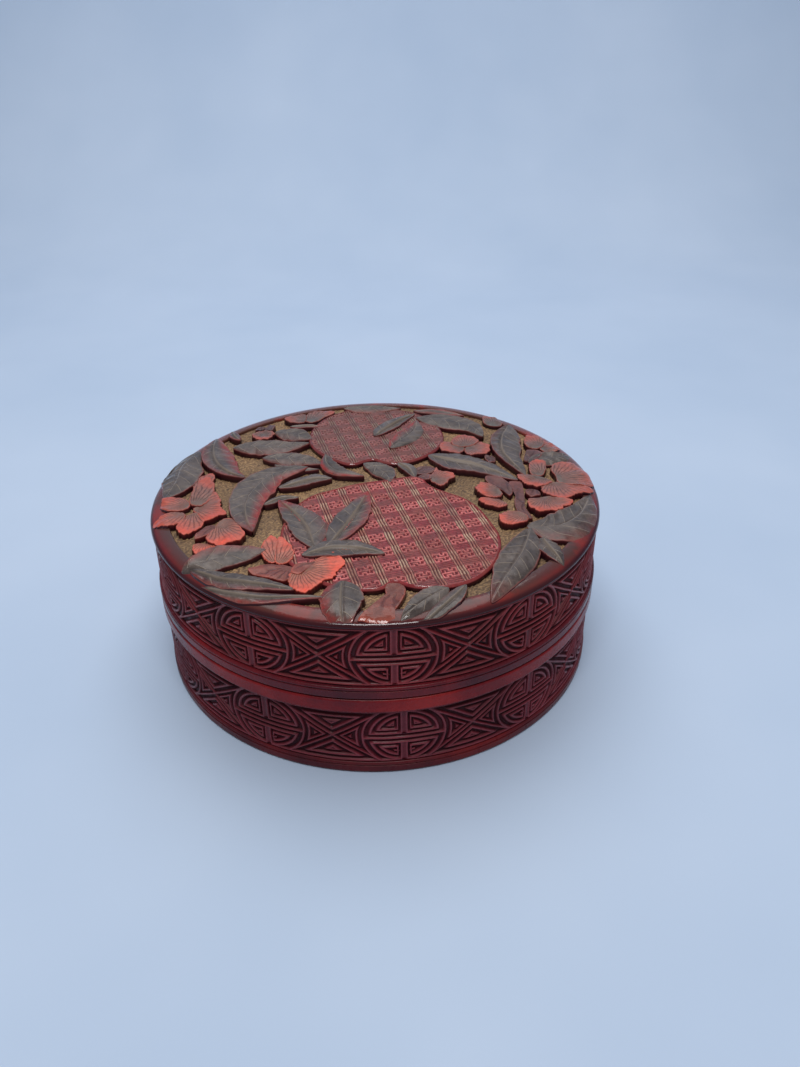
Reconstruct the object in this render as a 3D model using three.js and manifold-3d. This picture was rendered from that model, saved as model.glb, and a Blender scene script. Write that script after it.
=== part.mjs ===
// A round carved lacquer box with a lift-off lid, in millimetres, +Z up.
// The origin is the centre of the underside and the front is towards -Y.

import * as THREE from 'three';
import { mergeVertices } from 'three/addons/utils/BufferGeometryUtils.js';
import Module from 'manifold-3d';

const wasm = await Module();
wasm.setup();

// Outside sizes
const rim_radius = 75;
const seam_proud = 0.5;
const band_set_back = 0.4;
const foot_height = 4.2;
const base_band_height = 20.5;
const seam_moulding_height = 4.8;
const seam_gap = 0.3;
const rim_moulding_height = 4.2;
const lid_band_height = 20.6;
const edge_round = 0.6;

// Lacquer coats and the wooden core
const coat = 2.4;
const thin_coat = 0.5;
const foot_recess = 0.8;
const board = 4;
const lid_board = 3.4;
const base_wall = 4;
const lid_wall = 3;
const fit_gap = 0.3;
const slide_clearance = 0.5;
const lip_wall = 2.1;
const lip_rise = 4.3;

// Carved bands round the sides
const roundels = 11;
const carving_depth = 0.6;
const ridge_width = 1.1;
const upright_width = 2.5;
const wedge_groove = 2.2;
const lid_turn = 4.7;
const base_turn = 6.7;

// Carved top
const border_width = 8;
const border_height = 3.5;
const shoulder_drop = 3.2;
const straight_share = 0.4;
const ground_coat = 1.2;
const crown_rise = 1.4;
const fruit_drop = 0.9;
const petal_drop = 0.3;
const stem_drop = 0.7;
const layer_drop = 0.2;

// How finely round and curved outlines are cut
const facets = 48;
const shoulder_steps = 5;
const quarter_steps = 4;
const side_steps = 6;
const leaf_steps = 7;
const leaf_layers = 3;
const steps_between_points = 2;
const percent = 100;

// Heights worked out from the sizes above
const seam_radius = rim_radius + seam_proud;
const band_radius = rim_radius - band_set_back;
const base_band_bottom = foot_height;
const base_band_top = base_band_bottom + base_band_height;
const base_top = base_band_top + seam_moulding_height;
const lid_bottom = base_top + seam_gap;
const lid_band_bottom = lid_bottom + rim_moulding_height;
const lid_band_top = lid_band_bottom + lid_band_height;
const core_radius = rim_radius - coat - fit_gap;
const coat_inner_radius = core_radius + fit_gap;
const base_inner_radius = core_radius - base_wall;
const lip_outer_radius = base_inner_radius - fit_gap;
const lip_inner_radius = lip_outer_radius - lip_wall;
const lid_lining_radius = lip_outer_radius + slide_clearance;
const lid_inner_radius = core_radius - lid_wall;
const floor_bottom = foot_recess + thin_coat;
const floor_top = floor_bottom + board;
const lid_board_bottom = lid_band_top - lid_board;
const border_inner_radius = rim_radius - border_width;
const ground_radius = border_inner_radius - fit_gap;
const ground_top = lid_band_top + ground_coat;
const border_top = lid_band_top + border_height;

// Colours of the lacquers and the wood
const cinnabar = { color: 0x6b1d22, roughness: 0.38, metalness: 0 };
const seam_red = { color: 0x7a2226, roughness: 0.3, metalness: 0 };
const border_red = { color: 0x70292a, roughness: 0.28, metalness: 0 };
const top_lacquer = { color: 0x7a5248, roughness: 0.5, metalness: 0 };
const black_lacquer = { color: 0x120e0d, roughness: 0.25, metalness: 0 };
const core_wood = { color: 0x9a7650, roughness: 0.8, metalness: 0 };

const box = new THREE.Group();

// Adds one named piece with its own material to the box
function addPiece(name, geometry, finish) {
  const piece = new THREE.Mesh(geometry, new THREE.MeshStandardMaterial(finish));
  piece.name = name;
  box.add(piece);
}

// Twice the signed area of a closed outline, positive when it runs counterclockwise
function signedArea(points) {
  let area = 0;
  points.forEach((point, index) => {
    const next = points[(index + 1) % points.length];
    area += point[0] * next[1] - next[0] * point[1];
  });
  return area;
}

// Turns a profile of [radius, height] corners into a ring, or a disc when it touches the axis
function turned(corners) {
  const profile = signedArea(corners) < 0 ? [...corners].reverse() : [...corners];
  const first_on_axis = profile.findIndex(
    (point, index) => point[0] === 0 && profile.at(index - 1)[0] === 0,
  );
  const on_axis = first_on_axis >= 0;
  const ordered = on_axis
    ? [...profile.slice(first_on_axis), ...profile.slice(0, first_on_axis)]
    : [...profile, profile[0]];
  const points = ordered.map(([radius, height]) => new THREE.Vector2(radius, height));
  return new THREE.LatheGeometry(points, facets).rotateX(Math.PI / 2);
}

// A plain rectangular ring, or a disc when the inner radius is zero
function turnedBlock(inner_radius, outer_radius, bottom, top) {
  return turned([
    [inner_radius, bottom],
    [outer_radius, bottom],
    [outer_radius, top],
    [inner_radius, top],
  ]);
}

// A ring whose outer edges are eased by a small bevel
function moulding(inner_radius, outer_radius, bottom, top, ease) {
  return turned([
    [inner_radius, bottom],
    [outer_radius - ease, bottom],
    [outer_radius, bottom + ease],
    [outer_radius, top - ease],
    [outer_radius - ease, top],
    [inner_radius, top],
  ]);
}

// Wooden core and coats of the base
function addBase() {
  addPiece('base_floor_board', turnedBlock(0, lip_outer_radius, floor_bottom, floor_top), core_wood);
  const hoop_top = base_top - thin_coat;
  addPiece(
    'base_wall_hoop',
    turnedBlock(base_inner_radius, core_radius, floor_bottom, hoop_top),
    core_wood,
  );
  addPiece(
    'base_rim_lacquer',
    turnedBlock(base_inner_radius, core_radius, hoop_top, base_top),
    black_lacquer,
  );
  addPiece(
    'base_locating_lip',
    moulding(lip_inner_radius, lip_outer_radius, floor_top, base_top + lip_rise, edge_round),
    black_lacquer,
  );
  const floor_coat_radius = lip_inner_radius - fit_gap;
  addPiece(
    'base_floor_lacquer',
    turnedBlock(0, floor_coat_radius, floor_top, floor_top + thin_coat),
    black_lacquer,
  );
  addPiece(
    'base_under_lacquer',
    turnedBlock(0, base_inner_radius, foot_recess, floor_bottom),
    black_lacquer,
  );
  addPiece('base_foot_moulding', footMoulding(), cinnabar);
  addPiece('base_carved_band', carvedBand(base_band_bottom, base_band_top, base_turn), cinnabar);
  addPiece(
    'base_seam_moulding',
    moulding(coat_inner_radius, seam_radius, base_band_top, base_top, edge_round),
    seam_red,
  );
}

// The foot wraps under the hoop and stands lower than the recessed underside
function footMoulding() {
  const tread_radius = base_inner_radius + fit_gap;
  return turned([
    [tread_radius, 0],
    [rim_radius - 2 * edge_round, 0],
    [rim_radius, edge_round],
    [rim_radius, foot_height - edge_round],
    [rim_radius - edge_round, foot_height],
    [coat_inner_radius, foot_height],
    [coat_inner_radius, floor_bottom - fit_gap],
    [tread_radius, floor_bottom - fit_gap],
  ]);
}

// Wooden core and plain coats of the lid
function addLid() {
  const hoop_bottom = lid_bottom + thin_coat;
  addPiece(
    'lid_rim_lacquer',
    turnedBlock(lid_inner_radius, core_radius, lid_bottom, hoop_bottom),
    black_lacquer,
  );
  addPiece(
    'lid_wall_hoop',
    turnedBlock(lid_inner_radius, core_radius, hoop_bottom, lid_board_bottom),
    core_wood,
  );
  addPiece('lid_top_board', turnedBlock(0, core_radius, lid_board_bottom, lid_band_top), core_wood);
  addPiece('lid_inner_lacquer', lidLining(), black_lacquer);
  addPiece(
    'lid_rim_moulding',
    moulding(coat_inner_radius, seam_radius, lid_bottom, lid_band_bottom, edge_round),
    seam_red,
  );
  addPiece('lid_carved_band', carvedBand(lid_band_bottom, lid_band_top, lid_turn), cinnabar);
  addPiece('lid_border', turned(borderProfile()), border_red);
}

// The black lining is one upturned cup inside the lid
function lidLining() {
  const outer_radius = lid_inner_radius - fit_gap;
  return turned([
    [0, lid_board_bottom - thin_coat],
    [lid_lining_radius, lid_board_bottom - thin_coat],
    [lid_lining_radius, lid_bottom],
    [outer_radius, lid_bottom],
    [outer_radius, lid_board_bottom],
    [0, lid_board_bottom],
  ]);
}

// How far the top has fallen at a radius on the border, first straight, then rounded
function shoulderDrop(radius) {
  const share = (radius - border_inner_radius) / border_width;
  return shoulder_drop * (straight_share * share + (1 - straight_share) * share ** 3);
}

// Height of the uncarved top at a radius: a shallow dome that rounds off over the border
function crownHeight(radius) {
  if (radius > border_inner_radius) {
    return border_top - shoulderDrop(radius);
  }
  return border_top + crown_rise * (1 - (radius / border_inner_radius) ** 2);
}

// Section of the plain border, from its inner wall over the rounded shoulder
function borderProfile() {
  const profile = [
    [border_inner_radius, lid_band_top],
    [rim_radius - edge_round, lid_band_top],
  ];
  for (let step = 0; step <= shoulder_steps; step += 1) {
    const radius = rim_radius - (border_width * step) / shoulder_steps;
    profile.push([radius, crownHeight(radius)]);
  }
  return profile;
}

// Lines of the carving on a band, as shares of half the distance between roundels across and of
// half the band's height up: the ring of a roundel, its two bars, the rails and a cross's arms
const ring_shares = [0.4825, 0.937];
const bar_shares = [0.107, -0.252];
const rail_share = 0.937;
const arm_share = 0.669;

// Points on part of an ellipse round the middle of a roundel
function arcPoints([across, up], start, end, steps) {
  const points = [];
  for (let step = 0; step <= steps; step += 1) {
    const angle = start + ((end - start) * step) / steps;
    points.push([across * Math.cos(angle), up * Math.sin(angle)]);
  }
  return points;
}

// The field in the upper right quarter of a roundel, above a line
function quarterField(inner_ring, low) {
  const [across, up] = inner_ring;
  const start = Math.asin(low / up);
  const end = Math.acos(upright_width / 2 / across);
  return [...arcPoints(inner_ring, start, end, quarter_steps), [upright_width / 2, low]];
}

// The field between the two bars of a roundel
function barField([across, up], low, high) {
  const [low_end, high_end] = [low, high].map((level) => across * Math.sqrt(1 - (level / up) ** 2));
  return [[-low_end, low], [low_end, low], [high_end, high], [-high_end, high]];
}

// The field between a ring and the arms of the cross on its right
function sideField(outer_ring, half_pitch, slope, rail) {
  const reach = Math.asin(rail / outer_ring[1]);
  const tip = half_pitch - ridge_width / 2 / Math.sin(slope);
  const corner = tip - rail / Math.tan(slope);
  return [...arcPoints(outer_ring, -reach, reach, side_steps), [corner, rail], [tip, 0], [corner, -rail]];
}

// The wedge above the middle of a cross, set in from its arms and from the rail
function wedge(slope, rail, inset) {
  const low = inset / Math.cos(slope);
  const high = rail - inset;
  const half_width = (high - low) / Math.tan(slope);
  return [[0, low], [half_width, high], [-half_width, high]];
}

// An outline turned over across, up or both, kept anticlockwise
function mirrored(outline, across, up) {
  const turned_over = outline.map(([x, y]) => [x * across, y * up]);
  return across * up < 0 ? turned_over.reverse() : turned_over;
}

// Outlines of the fields of one roundel, and those of the cross beside it
function bandFields(half_pitch, half_height) {
  const edge = ridge_width / 2;
  const ring = [ring_shares[0] * half_pitch, ring_shares[1] * half_height];
  const [inner_ring, outer_ring] = [ring.map((size) => size - edge), ring.map((size) => size + edge)];
  const [high_bar, low_bar] = bar_shares.map((share) => share * half_height);
  const rail = rail_share * half_height;
  const slope = Math.atan2(rail, arm_share * half_pitch);
  const upper = quarterField(inner_ring, edge + high_bar);
  const lower = quarterField(inner_ring, edge - low_bar);
  const side = sideField(outer_ring, half_pitch, slope, rail - edge);
  const [groove, island] = [wedge(slope, rail, edge), wedge(slope, rail, edge + wedge_groove)];
  return {
    roundel: [
      { outline: barField(inner_ring, low_bar + edge, high_bar - edge), islands: [] },
      ...[-1, 1].flatMap((across) => [
        { outline: mirrored(upper, across, 1), islands: [] },
        { outline: mirrored(lower, across, -1), islands: [] },
        { outline: mirrored(side, across, 1), islands: [] },
      ]),
    ],
    cross: [-1, 1].map((up) => ({ outline: mirrored(groove, 1, up), islands: [mirrored(island, 1, up)] })),
  };
}

// Outline of a field as it is seen along the radius through its middle
function fieldShape(outline) {
  return new THREE.Shape(
    outline.map(([x, y]) => new THREE.Vector2(band_radius * Math.sin(x / band_radius), y)),
  );
}

// A field as a prism along the radius, from inside the band's coat to outside the band
function fieldPrism({ outline, islands }, middle, turn) {
  const shape = fieldShape(outline);
  shape.holes.push(...islands.map(fieldShape));
  const start = core_radius * Math.cos(Math.PI / roundels);
  const geometry = new THREE.ExtrudeGeometry(shape, { depth: rim_radius - start, bevelEnabled: false });
  geometry.translate(0, 0, start);
  geometry.rotateX(Math.PI / 2);
  geometry.rotateZ(turn);
  geometry.translate(0, 0, middle);
  return solidFrom(geometry);
}

// A band with the fields of its carving cut into it, and its main ridges left standing
function carvedBand(bottom, top, first_turn) {
  const fields = bandFields((Math.PI * band_radius) / roundels, (top - bottom) / 2);
  const middle = (top + bottom) / 2;
  const prisms = [];
  for (let index = 0; index < roundels; index += 1) {
    const turn = THREE.MathUtils.degToRad(first_turn) + (2 * Math.PI * index) / roundels;
    const beside = turn + Math.PI / roundels;
    prisms.push(...fields.roundel.map((field) => fieldPrism(field, middle, turn)));
    prisms.push(...fields.cross.map((field) => fieldPrism(field, middle, beside)));
  }
  const carved = turnedBlock(band_radius - carving_depth, rim_radius, bottom, top);
  const cuts = wasm.Manifold.union(prisms).intersect(solidFrom(carved));
  return geometryFrom(solidFrom(turnedBlock(coat_inner_radius, band_radius, bottom, top)).subtract(cuts));
}

// Plan of the carving, in percent of the rim radius, x to the right and y to the back.
// A leaf is its middle line from root to tip, then its widest spread to the left and right of it.
const leaf_shares = [
  { line: [[-33, 15], [-48, 5], [-56, -11], [-55, -27], [-50, -42]], spread: [8, 9] },
  { line: [[-80, 52], [-79, 33], [-72, 17], [-59, 5]], spread: [7, 8] },
  { line: [[-89, 29], [-92, 13], [-93, 0], [-98, -10]], spread: [6, 9] },
  { line: [[-72, 38], [-59, 37], [-45, 37], [-34, 41]], spread: [6, 8] },
  { line: [[-53, 25], [-43, 25], [-35, 21], [-25, 17]], spread: [5, 6] },
  { line: [[-41, -5], [-32, 0], [-25, 3], [-19, 3]], spread: [5, 5] },
  { line: [[-47, -19], [-40, -15], [-34, -15]], spread: [2, 2] },
  { line: [[-25, 28], [-23, 16], [-17, 9], [-7, 6]], spread: [4, 4] },
  { line: [[-5, 18], [2, 12], [5, 2]], spread: [5, 5] },
  { line: [[0, 48], [4, 59], [11, 67], [19, 77]], spread: [5, 5] },
  { line: [[7, 34], [13, 47], [19, 56], [19, 66]], spread: [6, 7] },
  { line: [[21, 68], [32, 68], [43, 63], [53, 48]], spread: [7, 7] },
  { line: [[26, 27], [39, 20], [51, 13], [64, 1]], spread: [9, 8] },
  { line: [[65, 60], [61, 43], [62, 24], [69, 5]], spread: [10, 5] },
  { line: [[73, 19], [81, 24], [88, 28], [95, 32]], spread: [4, 5] },
  { line: [[64, -39], [76, -37], [87, -28], [97, -9]], spread: [8, 10] },
  { line: [[64, -41], [59, -57], [51, -72], [45, -88]], spread: [9, 8] },
  { line: [[68, -47], [71, -56], [76, -65]], spread: [5, 4] },
  { line: [[30, -83], [20, -88], [11, -95]], spread: [5, 5] },
  { line: [[-11, -80], [-11, -88], [-11, -98]], spread: [7, 7] },
  { line: [[-69, -67], [-56, -75], [-43, -77], [-29, -81]], spread: [5, 5] },
  { line: [[-69, -65], [-59, -61], [-45, -55]], spread: [5, 6] },
  { line: [[-25, -53], [-27, -40], [-33, -28], [-41, -18]], spread: [6, 6] },
  { line: [[-17, -51], [-13, -39], [-7, -25], [-4, -11]], spread: [6, 6] },
  { line: [[-27, -56], [-16, -54], [-7, -55], [2, -58]], spread: [5, 5] },
  { line: [[-49, 57], [-41, 53], [-33, 47]], spread: [6, 6] },
  { line: [[-14, 82], [-3, 84], [10, 83]], spread: [3, 4] },
];

// A petal or a fruit is a closed outline through its points
const petal_shares = [
  [[-78, 7], [-84, -4], [-81, -18], [-75, -16], [-72, -3]],
  [[-71, -4], [-65, -15], [-62, -26], [-70, -31], [-75, -18]],
  [[-93, -12], [-86, -11], [-82, -17], [-84, -21], [-92, -21], [-95, -17]],
  [[-94, -25], [-86, -22], [-80, -25], [-82, -32], [-88, -34], [-94, -31]],
  [[-79, -24], [-82, -35], [-77, -40], [-73, -36], [-72, -28]],
  [[-62, -29], [-57, -34], [-53, -44], [-60, -50], [-67, -48], [-68, -40]],
  [[-73, -48], [-66, -48], [-62, -51], [-66, -56], [-71, -54]],
  [[-41, -46], [-45, -52], [-43, -60], [-36, -64], [-32, -58], [-35, -48]],
  [[-23, -63], [-16, -58], [-11, -65], [-15, -75], [-24, -83], [-31, -78], [-31, -69]],
  [[25, 4], [30, 7], [35, 6], [36, 2], [30, -5], [25, -2]],
  [[45, -4], [52, -2], [56, -9], [52, -15], [47, -14], [44, -9]],
  [[47, -15], [52, -16], [58, -20], [53, -23], [48, -21]],
  [[50, 4], [57, 0], [63, -8], [60, -16], [56, -7], [51, 0]],
  [[67, -17], [76, -14], [84, -15], [85, -20], [80, -26], [70, -27], [66, -21]],
  [[83, 15], [90, 19], [97, 12], [98, 2], [88, 2], [82, 8]],
  [[88, 2], [98, 1], [98, -6], [90, -11], [83, -15], [75, -12], [77, -4]],
  [[65, 4], [73, 6], [79, 0], [73, -5], [67, -1]],
  [[76, 21], [79, 16], [77, 7], [72, 8], [72, 16]],
  [[53, -32], [57, -27], [64, -29], [63, -35], [57, -37], [53, -36]],
  [[31, 38], [38, 47], [47, 47], [54, 40], [54, 30], [46, 26], [34, 28]],
  [[-63, 53], [-58, 57], [-53, 53], [-54, 47], [-60, 46]],
  [[-48, 74], [-40, 80], [-29, 83], [-24, 78], [-34, 69], [-43, 68]],
  [[56, 70], [60, 75], [64, 68], [61, 63]],
  [[73, 50], [81, 47], [87, 38], [79, 33], [74, 39]],
];
const near_fruit_shares = [
  [9, -77], [16, -80], [25, -81], [37, -77], [47, -66], [51, -53], [51, -41], [46, -26],
  [41, -17], [32, -10], [26, -5], [22, 2], [13, 5], [3, 1], [-10, -2], [-22, -7],
  [-34, -15], [-39, -30], [-41, -47], [-37, -62], [-25, -75], [-12, -81], [0, -82], [6, -79],
];
const far_fruit_shares = [
  [-4, 20], [0, 22], [5, 18], [15, 19], [25, 28], [32, 40], [33, 51], [28, 62], [18, 74],
  [6, 81], [-8, 82], [-20, 76], [-28, 66], [-33, 54], [-32, 40], [-26, 29], [-17, 20], [-11, 17],
];
const stem_shares = [
  [[6, -80], [11, -80], [12, -86], [9, -95], [0, -96], [4, -87]],
  [[63, -10], [66, -10], [66, -22], [64, -29], [62, -24]],
];

// Points in millimetres of a closed outline, smoothed between the points given in percent
function smoothOutline(points_shares) {
  const corners = points_shares.map(
    ([x, y]) => new THREE.Vector3((x * rim_radius) / percent, (y * rim_radius) / percent, 0),
  );
  const curve = new THREE.CatmullRomCurve3(corners, true, 'centripetal');
  const count = points_shares.length * steps_between_points;
  const points = [];
  for (let step = 0; step < count; step += 1) {
    const point = curve.getPoint(step / count);
    points.push([point.x, point.y]);
  }
  return points;
}

// Outline of a leaf: pointed at both ends and widest a little before the middle
function leafOutline({ line, spread }) {
  const corners = line.map(
    ([x, y]) => new THREE.Vector3((x * rim_radius) / percent, (y * rim_radius) / percent, 0),
  );
  const middle = new THREE.CatmullRomCurve3(corners, false, 'centripetal');
  const sides = spread.map((share) => (share * rim_radius) / percent);
  const left = [];
  const right = [];
  for (let step = 1; step < leaf_steps; step += 1) {
    const share = step / leaf_steps;
    const point = middle.getPoint(share);
    const way = middle.getTangent(share);
    const fullness = Math.sin(Math.PI * share ** 0.85) ** 0.75;
    left.push([point.x - way.y * sides[0] * fullness, point.y + way.x * sides[0] * fullness]);
    right.push([point.x + way.y * sides[1] * fullness, point.y - way.x * sides[1] * fullness]);
  }
  const root = middle.getPoint(0);
  const tip = middle.getPoint(1);
  return [[root.x, root.y], ...right, [tip.x, tip.y], ...left.reverse()];
}

// Turns a closed three.js geometry into a solid that can be joined and cut
function solidFrom(geometry) {
  geometry.deleteAttribute('normal');
  geometry.deleteAttribute('uv');
  const merged = mergeVertices(geometry);
  return new wasm.Manifold(
    new wasm.Mesh({
      numProp: 3,
      vertProperties: new Float32Array(merged.attributes.position.array),
      triVerts: new Uint32Array(merged.index.array),
    }),
  );
}

// The faces of a solid as a three.js geometry
function geometryFrom(solid) {
  const mesh = solid.getMesh();
  const geometry = new THREE.BufferGeometry();
  geometry.setAttribute('position', new THREE.BufferAttribute(mesh.vertProperties, mesh.numProp));
  geometry.setIndex(new THREE.BufferAttribute(mesh.triVerts, 1));
  geometry.computeVertexNormals();
  return geometry;
}

// An outline raised from inside the ground coat to the crown of the lid, less a small drop
function raised(points, drop) {
  const shape = new THREE.Shape(points.map(([x, y]) => new THREE.Vector2(x, y)));
  const geometry = new THREE.ExtrudeGeometry(shape, { depth: border_height, bevelEnabled: false });
  const position = geometry.attributes.position;
  const root = ground_top - ground_coat / 2;
  for (let index = 0; index < position.count; index += 1) {
    const radius = Math.hypot(position.getX(index), position.getY(index));
    const top = crownHeight(Math.min(radius, ground_radius)) - drop;
    position.setZ(index, position.getZ(index) > 0 ? top : root);
  }
  return solidFrom(geometry);
}

// The top coat: its ground with the fruits, leaves, flowers and stems left standing on it
function addCarvedTop() {
  const ground = solidFrom(turnedBlock(0, ground_radius, lid_band_top, ground_top));
  const field = solidFrom(turnedBlock(0, ground_radius, lid_band_top, border_top + border_height));
  const fruits = [near_fruit_shares, far_fruit_shares].map((outline, index) =>
    raised(smoothOutline(outline), fruit_drop + index * layer_drop),
  );
  const leaves = leaf_shares.map((leaf, index) =>
    raised(leafOutline(leaf), (index % leaf_layers) * layer_drop),
  );
  const flowers = petal_shares.map((outline, index) =>
    raised(smoothOutline(outline), petal_drop + (index % leaf_layers) * layer_drop),
  );
  const stems = stem_shares.map((outline) => raised(smoothOutline(outline), stem_drop));
  const standing = [...fruits, ...leaves, ...flowers, ...stems];
  const relief = standing.reduce((all, solid) => all.add(solid)).intersect(field);
  addPiece('lid_carved_top', geometryFrom(ground.add(relief)), top_lacquer);
}

addBase();
addLid();
addCarvedTop();

export default box;
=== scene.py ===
"""A round carved lacquer box with a lift-off lid, dressed over its solid model."""

import math

import bpy
import numpy as np
from mathutils import Matrix, Vector, noise


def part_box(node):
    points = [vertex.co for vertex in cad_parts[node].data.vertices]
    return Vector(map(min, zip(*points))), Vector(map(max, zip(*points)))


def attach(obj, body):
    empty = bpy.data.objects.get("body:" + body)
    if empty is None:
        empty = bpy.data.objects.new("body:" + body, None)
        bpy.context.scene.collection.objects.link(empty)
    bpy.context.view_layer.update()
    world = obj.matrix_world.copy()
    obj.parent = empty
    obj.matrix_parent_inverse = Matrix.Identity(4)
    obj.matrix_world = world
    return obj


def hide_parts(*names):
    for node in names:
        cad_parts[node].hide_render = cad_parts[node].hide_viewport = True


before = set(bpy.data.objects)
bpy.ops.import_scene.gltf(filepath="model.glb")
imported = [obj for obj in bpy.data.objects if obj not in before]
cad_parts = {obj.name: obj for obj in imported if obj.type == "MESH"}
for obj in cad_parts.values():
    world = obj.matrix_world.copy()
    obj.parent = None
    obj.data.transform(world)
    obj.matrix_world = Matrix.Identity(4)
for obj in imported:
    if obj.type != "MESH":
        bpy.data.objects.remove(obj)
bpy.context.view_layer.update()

MM = 0.001
FRONT = -math.pi / 2

# Sizes taken from the solid model
BORDER_LOW, BORDER_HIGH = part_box("lid_border")
TOP_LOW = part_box("lid_carved_top")[0]
FOOT_LOW, FOOT_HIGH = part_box("base_foot_moulding")
BASE_SEAM_LOW, BASE_SEAM_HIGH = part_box("base_seam_moulding")
LID_SEAM_LOW, LID_SEAM_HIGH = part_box("lid_rim_moulding")
CORE_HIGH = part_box("base_wall_hoop")[1]
RIM_RADIUS = BORDER_HIGH[0]
BORDER_BOTTOM = BORDER_LOW[2]
BORDER_TOP = BORDER_HIGH[2]

# Sizes that the solids were made with
FIT_GAP = 0.3 * MM
COAT_INNER_RADIUS = CORE_HIGH[0] + FIT_GAP
BORDER_WIDTH = 8 * MM
SHOULDER_DROP = 3.2 * MM
GROUND_COAT = 1.2 * MM
CROWN_RISE = 1.4 * MM
BORDER_INNER_RADIUS = RIM_RADIUS - BORDER_WIDTH

# The shoulder falls by parts of its drop, each with the power that it falls by
FALL_SHARES = ((0.1, 1), (0.73, 3), (0.17, 60))
GROUND_FILL = 0.3 * MM
GROUND_TOP = TOP_LOW[2] + GROUND_COAT + GROUND_FILL

# The photographed view, in pixels of an 800 by 1067 picture and metres
VIEW_HEIGHT_PX = 1067
FOCAL_PX = 850
SENSOR = 36
CAMERA_PLACE = Vector((8.07 * MM, -254.4 * MM, 196.3 * MM))
CAMERA_PITCH = 0.5560
CAMERA_ROLL = -0.01153
CLIP_START = 10 * MM


def smoothstep(low, high, value):
    """Ease from 0 to 1 while value goes from low to high."""
    share = np.clip((value - low) / (high - low), 0, 1)
    return share * share * (3 - 2 * share)


def waves(x, y, size, seed):
    """Smooth noise from about -1 to 1 on arrays of places, with bumps of a given size."""
    flat = [
        noise.noise(Vector((a / size, b / size, seed)))
        for a, b in zip(np.ravel(x), np.ravel(y))
    ]
    return np.array(flat).reshape(np.shape(x))


def ripples(x, y, seed, layers):
    """Layers of smooth noise, each with its bump size, its height and a shift of the seed."""
    return sum(waves(x, y, size, seed + shift) * height for size, height, shift in layers)


def unit(vectors):
    """Vectors of length one along the given ones."""
    return vectors / np.linalg.norm(vectors, axis=-1, keepdims=True)


def left_of(ways):
    """Each way turned a quarter to the left."""
    return np.stack([-ways[:, 1], ways[:, 0]], axis=-1)


def wrapped(radius, angle, height):
    """Points from their distance from the axis, angle round it and height."""
    axes = np.broadcast_arrays(radius * np.cos(angle), radius * np.sin(angle), height)
    return np.stack(axes, axis=-1)


def crown_height(radius):
    """Height of the uncarved top at a distance from the axis."""
    inner = np.clip(radius / BORDER_INNER_RADIUS, 0, 1)
    share = np.clip((radius - BORDER_INNER_RADIUS) / BORDER_WIDTH, 0, 1)
    dome = CROWN_RISE * (1 - inner ** 2)
    fall = sum(part * share ** power for part, power in FALL_SHARES)
    return BORDER_TOP + dome - SHOULDER_DROP * fall


def make_object(name, points, faces, material):
    """A smooth mesh object with one material."""
    mesh = bpy.data.meshes.new(name)
    mesh.from_pydata(points, [], faces)
    mesh.polygons.foreach_set("use_smooth", [True] * len(mesh.polygons))
    mesh.materials.append(material)
    mesh.update()
    thing = bpy.data.objects.new(name, mesh)
    bpy.context.scene.collection.objects.link(thing)
    return thing


def add_mesh(name, points, faces, marks, material, body):
    """Make one piece from points, faces and named values per point, riding on a body."""
    faces = [list(map(int, face)) for face in faces]
    piece = make_object(name, np.asarray(points).tolist(), faces, material)
    for key, values in marks.items():
        layer = piece.data.attributes.new(key, "FLOAT", "POINT")
        layer.data.foreach_set("value", np.asarray(values, dtype=np.float32))
    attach(piece, body)
    return piece


class Surface:
    """Collects patches of points and faces that become one piece."""

    def __init__(self, *keys):
        self.points = []
        self.faces = []
        self.values = {key: [] for key in keys}
        self.count = 0

    def add(self, points, faces, **marks):
        """Add one patch whose faces count from its own first point."""
        points = np.asarray(points)
        self.points.append(points)
        self.faces.extend((np.asarray(face) + self.count).tolist() for face in faces)
        for key, parts in self.values.items():
            parts.append(np.broadcast_to(marks[key], (len(points),)))
        self.count += len(points)

    def finish(self, name, material, body):
        """Turn everything collected into one piece."""
        marks = {key: np.concatenate(parts) for key, parts in self.values.items()}
        return add_mesh(name, np.concatenate(self.points), self.faces, marks, material, body)


def grid_faces(rows, columns, closed_rows=False, closed_columns=False):
    """Quads over a grid of points stored row by row."""
    row = np.arange(rows if closed_rows else rows - 1)
    column = np.arange(columns if closed_columns else columns - 1)
    r, c = np.meshgrid(row, column, indexing="ij")
    r, c = r.ravel(), c.ravel()
    r2, c2 = (r + 1) % rows, (c + 1) % columns
    quads = [r * columns + c, r * columns + c2, r2 * columns + c2, r2 * columns + c]
    return np.stack(quads, axis=1)


# Node materials. Noise has its scale in bumps per metre, and stops are (place, colour or grey).

GRAIN_DEPTH = 0.05 * MM
RIPPLE_DEPTH = 0.14 * MM
VEIN_DEPTH = 0.14 * MM
FAN_LINE_DEPTH = 0.12 * MM
GROUND_GRAIN_DEPTH = 0.1 * MM
BLACK_RIPPLE_DEPTH = 0.15 * MM
WOOD_GRAIN_DEPTH = 0.1 * MM
GLOSS_SPREAD_SHARES = ((0.3, 0.75), (0.7, 1.35))
WOOD_STRETCH_SHARES = (0.12, 1.0, 1.0)

# Painted light (for petals partly their own colour): shares a colour is multiplied by, from the rim's
# front to its back
PETAL_PAINTED_LIGHT_SHARES = [(0.17, (1.55, 1.2, 1.0)), (0.4, (1.04, 1.04, 1)), (0.52, (0.88, 1.0, 1.0)),
                     (0.84, (0.7, 0.96, 1.02))]
BORDER_PAINTED_LIGHT_SHARES = [(0.35, (1, 1, 1)), (0.85, (1.6, 1.1, 1.0))]
FRUIT_PAINTED_LIGHT_SHARES = [(0.5, (1, 1, 1)), (0.7, (0.86, 1.06, 1.08))]


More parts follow.
